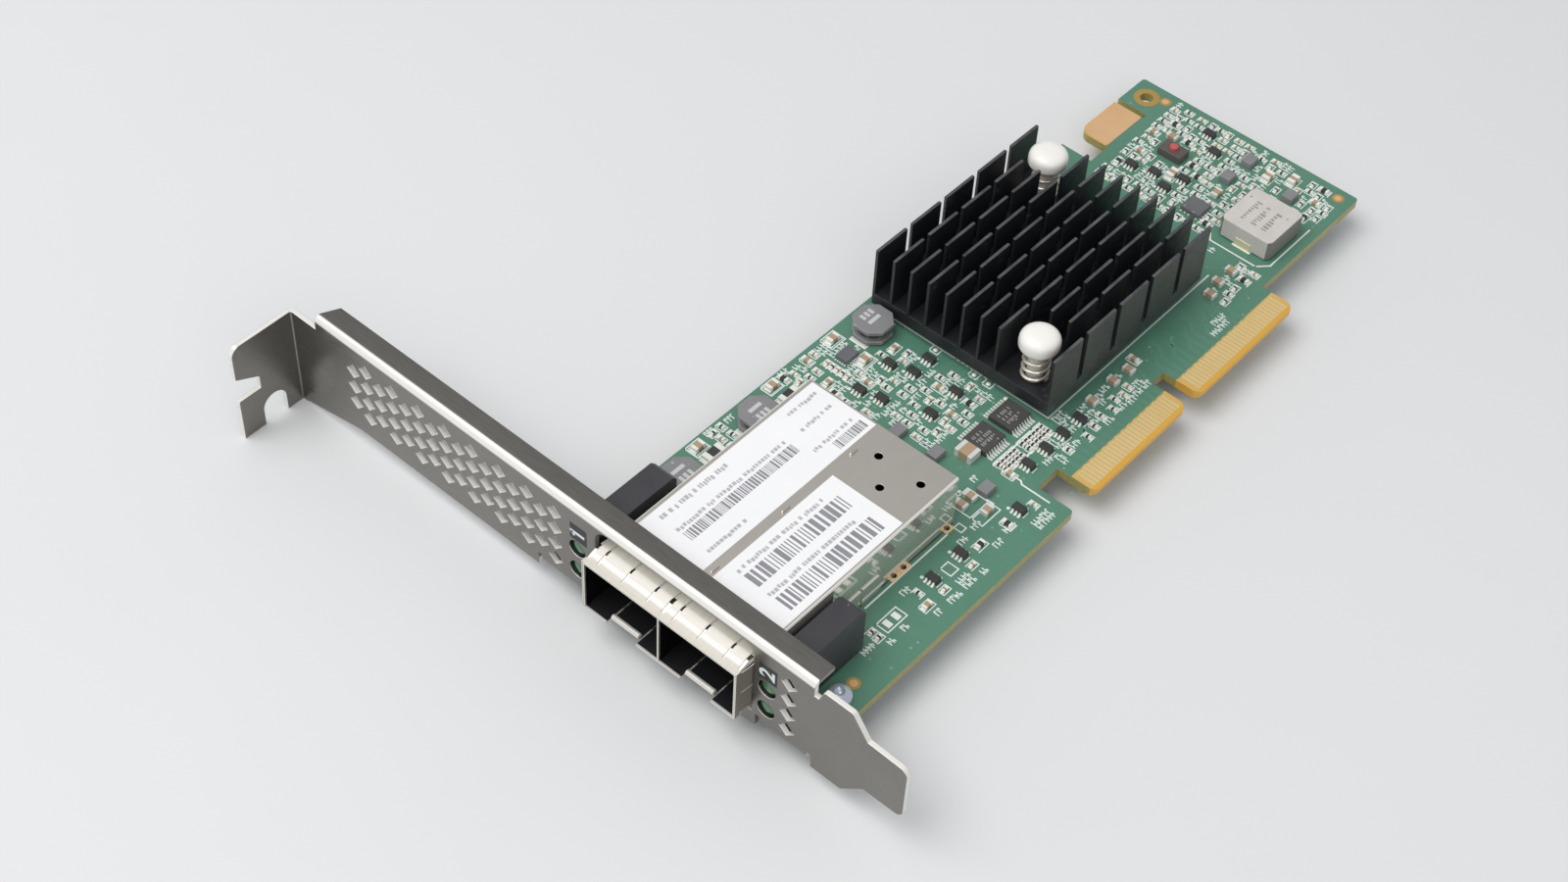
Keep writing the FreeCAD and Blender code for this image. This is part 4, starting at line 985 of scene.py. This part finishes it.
# two-ended parts in mm. Kinds: length, width, height, share of each plated end
chipKinds = dict(tiny=(1.05, 0.55, 0.40, 0.32), small=(1.65, 0.85, 0.55, 0.26), mid=(2.1, 1.25, 0.85, 0.26),
                 wide=(2.2, 1.4, 1.0, 0.32), long=(3.6, 1.7, 1.0, 0.26))
chipShape = dict(body=0.96, fillet=0.22, filletTall=0.22, spread=0.04, room=0.42)
chipPieces = dict(ceramic=("CapBodies", "ceramic", "ceramic_tan"), tin=("Ends", "solder", "tin"),
                  solder=("Solder", "solder", "tin"), darkFilm=("FilmBodies", "darkFilm", "chip_black"))
placedChips = [  # right, back, direction, kind, body
    (4.5, 29.0, "y", "long", "darkFilm"), (5.0, 45.6, "y", "long", "darkFilm"),
    (1.8, 59.5, "y", "mid", "ceramic"), (8.4, 59.5, "y", "mid", "ceramic"),
    (1.9, 53.3, "x", "small", "ceramic"), (7.3, 52.0, "y", "small", "ceramic"),
    (1.6, 45.5, "y", "mid", "ceramic"), (1.8, 28.5, "y", "mid", "ceramic"),
    (46.0, 39.1, "y", "tiny", "ceramic"), (45.9, 32.8, "y", "tiny", "ceramic"),
    (45.9, 28.8, "y", "small", "ceramic"), (43.5, 29.7, "x", "tiny", "darkFilm"),
    (44.5, 42.8, "y", "small", "darkFilm"), (45.0, 48.7, "x", "small", "darkFilm"),
    (45.5, 54.3, "x", "tiny", "ceramic"), (43.2, 19.7, "y", "tiny", "darkFilm"),
    (44.5, 19.7, "y", "tiny", "darkFilm"), (39.2, 56.6, "x", "small", "ceramic"),
    (38.8, 88.8, "x", "small", "ceramic")]
placedChips += [(4.5 + 1.05 * k, 55.0, "y", "tiny", "darkFilm" if k % 2 else "ceramic") for k in range(5)]
placedChips += [(u, 57.0 + 0.95 * k, "x", "tiny", "darkFilm")
                for k in range(12) for u in (36.9, 38.2) if k != 5]
spareCaps = [(30.4, 138.7), (24.3, 131.5), (12.8, 135.9), (25.4, 138.5), (34.0, 140.9), (18.2, 128.0),
             (21.0, 124.5), (37.6, 138.4)]  # where there is room
chipZones = [  # filled with a seeded scatter: left, front, right, back, share, seed
    (0.7, 31.4, 7.5, 37.0, 0.8, 5), (1.0, 46.5, 18.5, 66.5, 0.55, 6), (18.5, 52.0, 28.5, 68.5, 0.34, 7),
    (38.6, 64.0, 44.4, 86.0, 0.20, 8), (8.2, 119.5, 24.8, 144.0, 0.80, 9),
    (24.0, 119.5, 31.2, 144.0, 0.62, 10),
    (29.0, 134.0, 43.0, 143.6, 0.55, 11), (38.4, 108.0, 43.0, 119.0, 0.30, 12)]
scatter = dict(margin=0.8, step=(0.55, 0.6), ways="xxy", kinds=("tiny", "tiny", "tiny", "small"),
               bodies=("ceramic", "darkFilm", "darkFilm"), spareHalf=(1.0, 1.4), spareGap=0.1)
chipFrames = []  # middle and half sizes of each part on the top face


def halvesOf(kind, along):
    length, wide = chipKinds[kind][:2]
    return (length / 2, wide / 2) if along == "x" else (wide / 2, length / 2)


def addChip(parts, u, v, along, kind, finish, top=True):
    length, wide, tall, share = chipKinds[kind]
    s, half, end, spot = chipShape, length / 2, length * share, at(u, v)
    base, sign = (boardHigh.z, 1) if top else (boardLow.z, -1)

    def block(key, start, stop, across, high):  # along the part, and to both sides of it
        corners = (start, -across, stop, across) if along == "x" else (-across, start, across, stop)
        x0, y0, x1, y1 = (middle + reach * mm for middle, reach in zip((spot.x, spot.y) * 2, corners))
        addPlate(parts[key], x0, y0, x1, y1, sign * high, base)

    block(finish, -half + end, half - end, wide / 2, tall * s["body"])
    for side in (-1, 1):
        inner, outer = side * (half - end), side * (half + s["fillet"])
        block("tin", side * half, inner, wide / 2, tall)
        block("solder", inner, outer, wide / 2 + s["spread"], tall * s["filletTall"])
    if top:
        halfU, halfV = halvesOf(kind, along)
        reachU, reachV = halfU + s["fillet"], halfV + s["fillet"]
        take(u - reachU, v - reachV, u + reachU, v + reachV)
        chipFrames.append((u, v, halfU, halfV))


def addChipPieces(prefix, parts):
    for key, (name, finish, slot) in chipPieces.items():
        addPiece(prefix + name, parts[key], finish)


def scatterChips(s):
    parts = {key: bmesh.new() for key in chipPieces}
    for chip in placedChips:
        addChip(parts, *chip)
    halfU, halfV = s["spareHalf"]
    for u, v in spareCaps:
        if free(u - halfU, v - halfV, u + halfU, v + halfV, s["spareGap"]):
            addChip(parts, u, v, "y", "wide", "ceramic")
    for left, front, right, rear, share, seed in chipZones:
        dice = random.Random(seed)
        v = front + s["margin"]
        while v < rear - s["margin"]:
            u = left + s["margin"]
            while u < right - s["margin"]:
                along, kind = dice.choice(s["ways"]), dice.choice(s["kinds"])
                halfU, halfV = halvesOf(kind, along)
                room = chipShape["room"]
                fits = dice.random() < share
                if fits and free(u - halfU - room, v - halfV - room, u + halfU + room, v + halfV + room):
                    addChip(parts, u, v, along, kind, dice.choice(s["bodies"]))
                u += s["step"][0]
            v += s["step"][1]
    addChipPieces("chip", parts)


# underside: vias, and small parts behind the controller, the sockets and the power coil, in mm
underside = dict(
    blocks=[(12.5, 82.0, 6, 8), (14.0, 47.0, 9, 2), (26.0, 124.0, 5, 5)],  # left, front, columns, rows
    pitch=(2.3, 2.6), seed=51, share=0.85, bodies=("ceramic", "ceramic", "darkFilm"),
    via=0.3, viaThick=0.02, viaSides=8, viaFrom=(5.0, 16.0), viaGrid=(13, 40), viaStep=3.1, viaShift=0.8,
    viaShare=0.6, clear=1.2, edge=42.0, corner=(8.5, 110.0))


def fillUnderside(s):
    dice = random.Random(s["seed"])
    parts = {key: bmesh.new() for key in chipPieces}
    vias = bmesh.new()
    stepU, stepV = s["pitch"]
    for left, front, columns, rows in s["blocks"]:
        for column, row in itertools.product(range(columns), range(rows)):
            if dice.random() < s["share"]:
                finish, along = dice.choice(s["bodies"]), dice.choice("xy")
                addChip(parts, left + column * stepU, front + row * stepV, along, "tiny", finish, False)
    shift, gap = s["viaShift"], s["clear"]
    for cell in itertools.product(*map(range, s["viaGrid"])):
        u, v = (start + k * s["viaStep"] + dice.uniform(-shift, shift)
                for start, k in zip(s["viaFrom"], cell))
        covered = any(left - gap < u < left + columns * stepU and front - gap < v < front + rows * stepV
                      for left, front, columns, rows in s["blocks"])
        notched = u < s["corner"][0] and v > s["corner"][1]
        if not covered and u < s["edge"] and dice.random() < s["viaShare"] and not notched:
            place = at(u, v)
            place.z = boardLow.z - s["viaThick"] * mm
            addDisc(vias, place, s["via"] * mm, s["viaThick"] * mm, s["viaSides"])
    addChipPieces("under", parts)
    addPiece("underVias", vias, "via", angle=20)


scatterChips(scatter)
fillUnderside(underside)
print("small parts placed:", len(chipFrames))

# white print on the board in mm. Words are ticks in place of letters: right, back, count, direction
silkPrint = dict(
    thick=0.018, line=0.2, bold=1.4, box=0.16, boxGap=0.32, letter=0.18, glyph=0.95, spacing=0.66, fill=0.7,
    seed=23, full=0.8, lifts=(0.0, 0.3, 0.6), arm=0.32, serif=0.3,
    chipLine=(0.25, 1.3, 0.1), openSides=(0, 0, 1), wordStep=(0.3, 0.35), wordSpare=0.1, wordGap=0.08,
    wordInset=(0.05, 0.1), wordRear=1.0,
    lines=[
        ((6.0, 69.7), (36.5, 69.7)), ((36.5, 69.7), (36.5, 112.5)), ((38.2, 50.4), (41.0, 50.4)),
        ((37.6, 56.8), (41.2, 56.8)), ((41.2, 56.8), (41.8, 56.3)), ((41.8, 56.3), (46.9, 56.3)),
        ((38.4, 22.5), (38.4, 43.5)), ((39.7, 22.5), (39.7, 41.0)), ((36.3, 56.4), (36.3, 68.0)),
        ((38.85, 56.4), (38.85, 68.0)), ((31.9, 119.6), (40.9, 119.6)), ((42.6, 121.4), (42.6, 133.0)),
        ((31.0, 121.0), (31.9, 119.6)), ((40.9, 119.6), (42.6, 121.4))],
    frames=[
        (0.5, 57.9, 3.1, 61.1), (7.1, 57.9, 9.7, 61.1), (36.3, 45.9, 40.2, 50.2), (40.5, 45.9, 42.5, 50.2),
        (42.7, 21.3, 44.9, 25.6), (0.4, 44.0, 2.8, 47.0), (0.5, 27.0, 3.1, 30.0), (39.6, 42.8, 41.0, 44.0),
        (43.0, 35.4, 45.0, 37.2), (14.1, 68.3, 15.7, 69.7), (21.8, 68.3, 23.4, 69.7),
        (24.6, 68.3, 26.2, 69.7)],
    words=[
        (41.2, 44.6, 3), (46.0, 35.2, 4), (47.2, 35.2, 4), (47.3, 31.6, 3), (41.4, 28.0, 3), (44.2, 16.0, 4),
        (45.0, 47.4, 4), (0.4, 31.2, 3), (0.3, 48.2, 3), (26.4, 56.0, 3), (29.5, 58.2, 3), (47.3, 51.4, 6),
        (48.2, 51.4, 6), (36.9, 69.9, 4), (37.8, 69.9, 4), (41.6, 41.0, 3), (45.7, 44.2, 3), (47.4, 39.0, 2),
        (47.4, 33.0, 2), (47.3, 28.6, 2), (45.5, 23.2, 2), (45.7, 20.0, 2), (41.3, 66.2, 3), (41.3, 62.0, 3),
        (42.9, 104.0, 5), (44.2, 102.0, 7), (39.0, 117.2, 5, "x"), (33.0, 117.4, 2), (41.6, 73.6, 3),
        (41.6, 79.6, 3), (35.4, 51.8, 2), (35.4, 48.0, 2), (20.6, 46.2, 3, "x")])


def sidesOf(u0, v0, u1, v1):
    corners = [(u0, v0), (u1, v0), (u1, v1), (u0, v1), (u0, v0)]
    return list(zip(corners, corners[1:]))


def printSilk(s):
    bm = bmesh.new()
    dice = random.Random(s["seed"])

    def stroke(a, b, wide):
        addBar(bm, at(*a), at(*b), wide * mm, s["thick"] * mm)

    def word(u, v, count, along="y"):
        for k in range(count):
            lift, arm = dice.choice(s["lifts"]), s["arm"]
            ticks = [(0.0, 0.0, s["glyph"], 0.0), (lift, 0.0, lift, arm), (lift, arm, lift + s["serif"], arm)]
            for a0, b0, a1, b1 in ticks[:3 if dice.random() < s["full"] else 2]:
                b0, b1 = b0 + k * s["spacing"], b1 + k * s["spacing"]
                if along == "x":
                    stroke((u + b0, v + a0), (u + b1, v + a1), s["letter"])
                else:
                    stroke((u + a0, v + b0), (u + a1, v + b1), s["letter"])

    for a, b in s["lines"]:
        stroke(a, b, s["line"] * s["bold"])
    for box in s["frames"]:
        for a, b in sidesOf(*box):
            stroke(a, b, s["line"])
    for row in s["words"]:
        word(*row)
    for u, v, halfU, halfV in chipFrames:  # a box round each part, open at one side on some
        a, b = halfU + s["boxGap"], halfV + s["boxGap"]
        for start, end in sidesOf(u - a, v - b, u + a, v + b)[dice.choice(s["openSides"]):]:
            stroke(start, end, s["box"])
        take(u - a, v - b, u + a, v + b)
    for low, high in solidBoxes("sot_chips"):  # a line beside each small chip
        u, v = spotOf(high)
        right, start, end = s["chipLine"]
        stroke((u + right, v - start), (u + right, v - end), s["box"])
        take(u + 0.1, v - 1.4, u + 0.4, v)
    long, gap = s["glyph"] + s["wordSpare"], s["wordGap"]
    insetU, insetV = s["wordInset"]
    for left, front, right, rear, share, seed in chipZones:  # words in the room that is left
        v = front
        while v < rear - s["wordRear"]:
            u = left
            while u < right - long:
                count = 3 if free(u, v, u + long, v + 3 * s["spacing"], gap) else 2
                if free(u, v, u + long, v + count * s["spacing"], gap) and dice.random() < s["fill"]:
                    word(u + insetU, v + insetV, count)
                    take(u, v, u + long, v + count * s["spacing"])
                u += s["wordStep"][0]
            v += s["wordStep"][1]
    addPiece("boardPrint", bm, "silk", angle=30)


printSilk(silkPrint)
print("board printed")

# tracks and vias under the mask, in mm
tracks = dict(thick=0.014, wide=0.2, seed=17, rootGap=0.2,
              pairs=28, pairFrom=1.2, pairStep=1.6, pairGap=0.42, pairShift=1.6, pairEnd=3.4,
              keyGap=(22.5, 26.0), bend=(2.2, 4.6), portRuns=10, portFrom=(17.0, 46.0), portStep=0.9,
              portJog=(48.0, 56.0), portShift=1.4, portEnd=70.0, sideRuns=5, sideFrom=(1.0, 70.0),
              sideStep=0.4, sideJog=104.0, sideShift=1.5, sideEnd=112.0,
              viaTries=260, viaArea=((1.0, 49.5), (3.0, 144.0)), via=0.27, viaThick=0.02, viaSides=8,
              viaRoom=0.3, viaGap=0.05,
              viaNone=[(43.0, 62.0, 50.0, 145.0), (0.0, 111.5, 7.5, 138.5)])  # card edge and far hook


def layTracks(s):
    bm, vias = bmesh.new(), bmesh.new()
    dice = random.Random(s["seed"])
    uRoot, vNear = spotOf(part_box("edge_contacts")[0])
    uRoot -= s["rootGap"]

    def run(*points):
        for a, b in zip(points, points[1:]):
            addBar(bm, at(*a), at(*b), s["wide"] * mm, s["thick"] * mm)

    shift = s["pairShift"]
    for k in range(s["pairs"]):  # card edge to the chip
        v = vNear + s["pairFrom"] + k * s["pairStep"]
        if s["keyGap"][0] < v - vNear < s["keyGap"][1]:
            continue
        bend = uRoot - dice.uniform(*s["bend"])
        for w in (v, v + s["pairGap"]):
            run((uRoot, w), (bend, w), (bend - shift, w + shift), (bend - s["pairEnd"], w + shift))
    shift = s["portShift"]
    for k in range(s["portRuns"]):  # ports to the chip
        u, jog = s["portFrom"][0] + k * s["portStep"], dice.uniform(*s["portJog"])
        run((u, s["portFrom"][1]), (u, jog), (u + shift, jog + shift), (u + shift, s["portEnd"]))
    shift = s["sideShift"]
    for k in range(s["sideRuns"]):  # along the board's far side
        u, jog = s["sideFrom"][0] + k * s["sideStep"], s["sideJog"] + k
        run((u, s["sideFrom"][1]), (u, jog), (u + shift, jog + shift), (u + shift, s["sideEnd"]))
    room = s["viaRoom"]
    for k in range(s["viaTries"]):
        u, v = (dice.uniform(*span) for span in s["viaArea"])
        barred = any(a < u < c and b < v < d for a, b, c, d in s["viaNone"])
        if not barred and free(u - room, v - room, u + room, v + room, s["viaGap"]):
            addDisc(vias, at(u, v), s["via"] * mm, s["viaThick"] * mm, s["viaSides"])
    addPiece("boardTracks", bm, "trace", angle=20)
    addPiece("boardVias", vias, "via", angle=20)


# bare copper and solder, in mm: radii of rings and dots, lands from their left edge, boxes of open pads
bareCopper = dict(thick=0.04, toolingHole=(3.4, 141.3), ring=(1.16, 2.3), dots=fiducials, dot=(0.62, 1.05),
                  ringSides=40, dotSides=28, dotRingSides=32, hole=0.46, holeThick=0.01, holeSides=24,
                  land=(-0.14, 0.65), farLand=1.8, gapShadow=0.1, gapShadowThick=0.02, gapShadowFrom=8.0,
                  post=(0.42, 0.22), postSides=16,
                  posts=[(14.9, 69.0), (22.6, 69.0), (25.4, 69.0), (29.3, 68.4), (32.2, 55.2)],
                  pads=[(43.1, 22.0, 44.5, 23.0), (43.1, 23.9, 44.5, 24.9)], padThick=0.05, padSpare=0.25)


def makeBareCopper(s):
    dots, rings, thick = bmesh.new(), bmesh.new(), s["thick"] * mm
    addRing(rings, at(*s["toolingHole"]), s["ring"][0] * mm, s["ring"][1] * mm, thick, s["ringSides"])
    inner, outer = (radius * mm for radius in s["dot"])
    for spot in s["dots"]:
        addDisc(dots, at(*spot), inner, thick, s["dotSides"])
        addRing(rings, at(*spot), inner, outer, thick / 4, s["dotRingSides"])
    addPiece("bareCopper", dots, "copper", angle=30)
    addPiece("bareLaminate", rings, "laminate", angle=30)


def makeLegLands(s):  # half holes at the cage's wall as black half discs of painted shade, and a black strip of painted shadow for the gap under the wall
    lands, holes, gapShadow = bmesh.new(), bmesh.new(), bmesh.new()
    boxes = solidBoxes("leg_lands")
    last = max(high.y for low, high in boxes)
    for low, high in boxes:
        y = (low.y + high.y) / 2
        half = s["farLand"] / 2 * mm if high.y == last else (high.y - low.y) / 2
        wall, outer = (low.x + reach * mm for reach in s["land"])
        addBlock(lands, Vector((wall, y - half, low.z)), Vector((outer, y + half, high.z)))
        # black half discs of painted shade for the holes
        addDisc(holes, Vector((wall, y, high.z)), s["hole"] * mm, s["holeThick"] * mm, s["holeSides"])
    whole = holes.verts[:] + holes.edges[:] + holes.faces[:]
    bmesh.ops.bisect_plane(holes, geom=whole, plane_co=(wall, 0, 0), plane_no=(1, 0, 0), clear_inner=True)
    bmesh.ops.holes_fill(holes, edges=[e for e in holes.edges if e.is_boundary])
    # black strip of painted shadow under the cage's wall
    start, end = boardLow.y + s["gapShadowFrom"] * mm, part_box("cage_shell")[1].y
    addPlate(gapShadow, wall, start, wall + s["gapShadow"] * mm, end, s["gapShadowThick"])
    addPiece("legLands", lands, "land", replacing=("leg_lands",))
    addPiece("cageGapShadow", gapShadow, "socket")
    addPiece("landHoles", holes, "socket")


def makeOpenPads(s):  # low solder domes on test points, two empty pads and the coils' lands
    pads = bmesh.new()
    radius, tall = s["post"]
    dome = [(radius * math.cos(a), tall * math.sin(a)) for a in arc(18, 0, 5)]
    for spot in s["posts"]:
        turnProfile(pads, at(*spot), dome, s["postSides"])
    for u0, v0, u1, v1 in s["pads"]:
        addBlock(pads, at(u0, v0), at(u1, v1, s["padThick"]))
    spare = s["padSpare"] * mm
    for low, high in solidBoxes("coil_terminals") + solidBoxes("power_coil_terminals"):
        addPlate(pads, low.x - spare, low.y - spare, high.x + spare, high.y + spare, s["padThick"])
    addPiece("openPads", pads, "solder")


layTracks(tracks)
makeBareCopper(bareCopper)
makeLegLands(bareCopper)
makeOpenPads(bareCopper)
print("tracks, vias and lands laid")

# winding inside each drum coil, and a pale bar with three dashes on its top
coilMarks = dict(coils=[("coil_1", -0.9, 1.7), ("coil_2", -0.9, 1.7), ("coil_3", 0.2, -1.5)],  # shifts in mm
                 bar=(0.35, 1.3), dash=(0.6, 0.3), dashStep=0.95, thick=0.02,
                 winding=2.55, core=2.2, rib=0.12, ribs=8, flange=0.82, sides=40)


def finishCoils(s):
    marks, winding = bmesh.new(), bmesh.new()
    for node, barShift, dashShift in s["coils"]:
        low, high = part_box(node)
        bar = middleOf(low, high, high.z) + Vector((barShift, 0, 0)) * mm
        dashes = [bar + Vector((dashShift, k * s["dashStep"], 0)) * mm for k in (-1, 0, 1)]
        for spot, (halfX, halfY) in [(bar, s["bar"])] + [(dash, s["dash"]) for dash in dashes]:
            addBlock(marks, spot - Vector((halfX, halfY, 0)) * mm,
                     spot + Vector((halfX, halfY, s["thick"])) * mm)
        foot, tall = low.z / mm + s["flange"], (high.z - low.z) / mm - 2 * s["flange"]
        ribs = [(s["winding"] - s["rib"] * ((k + 1) % 2), foot + k * tall / s["ribs"])
                for k in range(s["ribs"] + 1)]
        profile = [(s["core"], foot)] + ribs + [(s["core"], foot + tall)]
        turnProfile(winding, middleOf(low, high), profile, s["sides"])
    addPiece("coilMarks", marks, "palePrint")
    addPiece("coilWindings", winding, "winding", angle=50)


# ticks in place of the marks on large tops: node, finish, rows, tick height, margins in mm
topPrint = dict(thick=0.012, seed=31, ragged=1.2, ticks=(0.3, 0.55), rises=(0.5, 0.5, 0.1),
                gaps=(0.3, 0.3, 0.8),
                tops=[("logic_chip_1", "chipPrint", 3, 0.62, 0.8),
                      ("logic_chip_2", "chipPrint", 3, 0.62, 0.8),
                      ("power_coil", "coilPrint", 3, 1.0, 2.0)])


def printTops(s):
    dice = random.Random(s["seed"])
    for node, finish, rows, tall, margin in s["tops"]:
        low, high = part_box(node)
        bm = bmesh.new()
        pitch = (high.x - low.x - 2 * margin * mm) / rows
        for row in range(rows):
            x = low.x + margin * mm + (row + 0.5) * pitch
            y = low.y + margin * mm
            while y < high.y - (margin + dice.uniform(0.0, s["ragged"])) * mm:
                long = dice.uniform(*s["ticks"]) * tall * mm
                left, right = x - tall / 2 * mm, x + dice.choice(s["rises"]) * tall * mm
                addPlate(bm, left, y, right, y + long, s["thick"], high.z)
                y += long + dice.choice(s["gaps"]) * tall * mm
        addPiece(node.replace("_", ".") + ".print", bm, finish)


finishCoils(coilMarks)
printTops(topPrint)
print("coils finished")

floorSettings = dict(gap=0.1, size=3.0)  # gap under the part in mm, half of the floor's side in metres
floorMesh = bmesh.new()
floorPlace = Matrix.Translation((0, 0, cadBox[0].z - floorSettings["gap"] * mm))
bmesh.ops.create_grid(floorMesh, x_segments=1, y_segments=1, size=floorSettings["size"], matrix=floorPlace)
floorPiece = newObject("studioFloor", floorMesh, "floor")
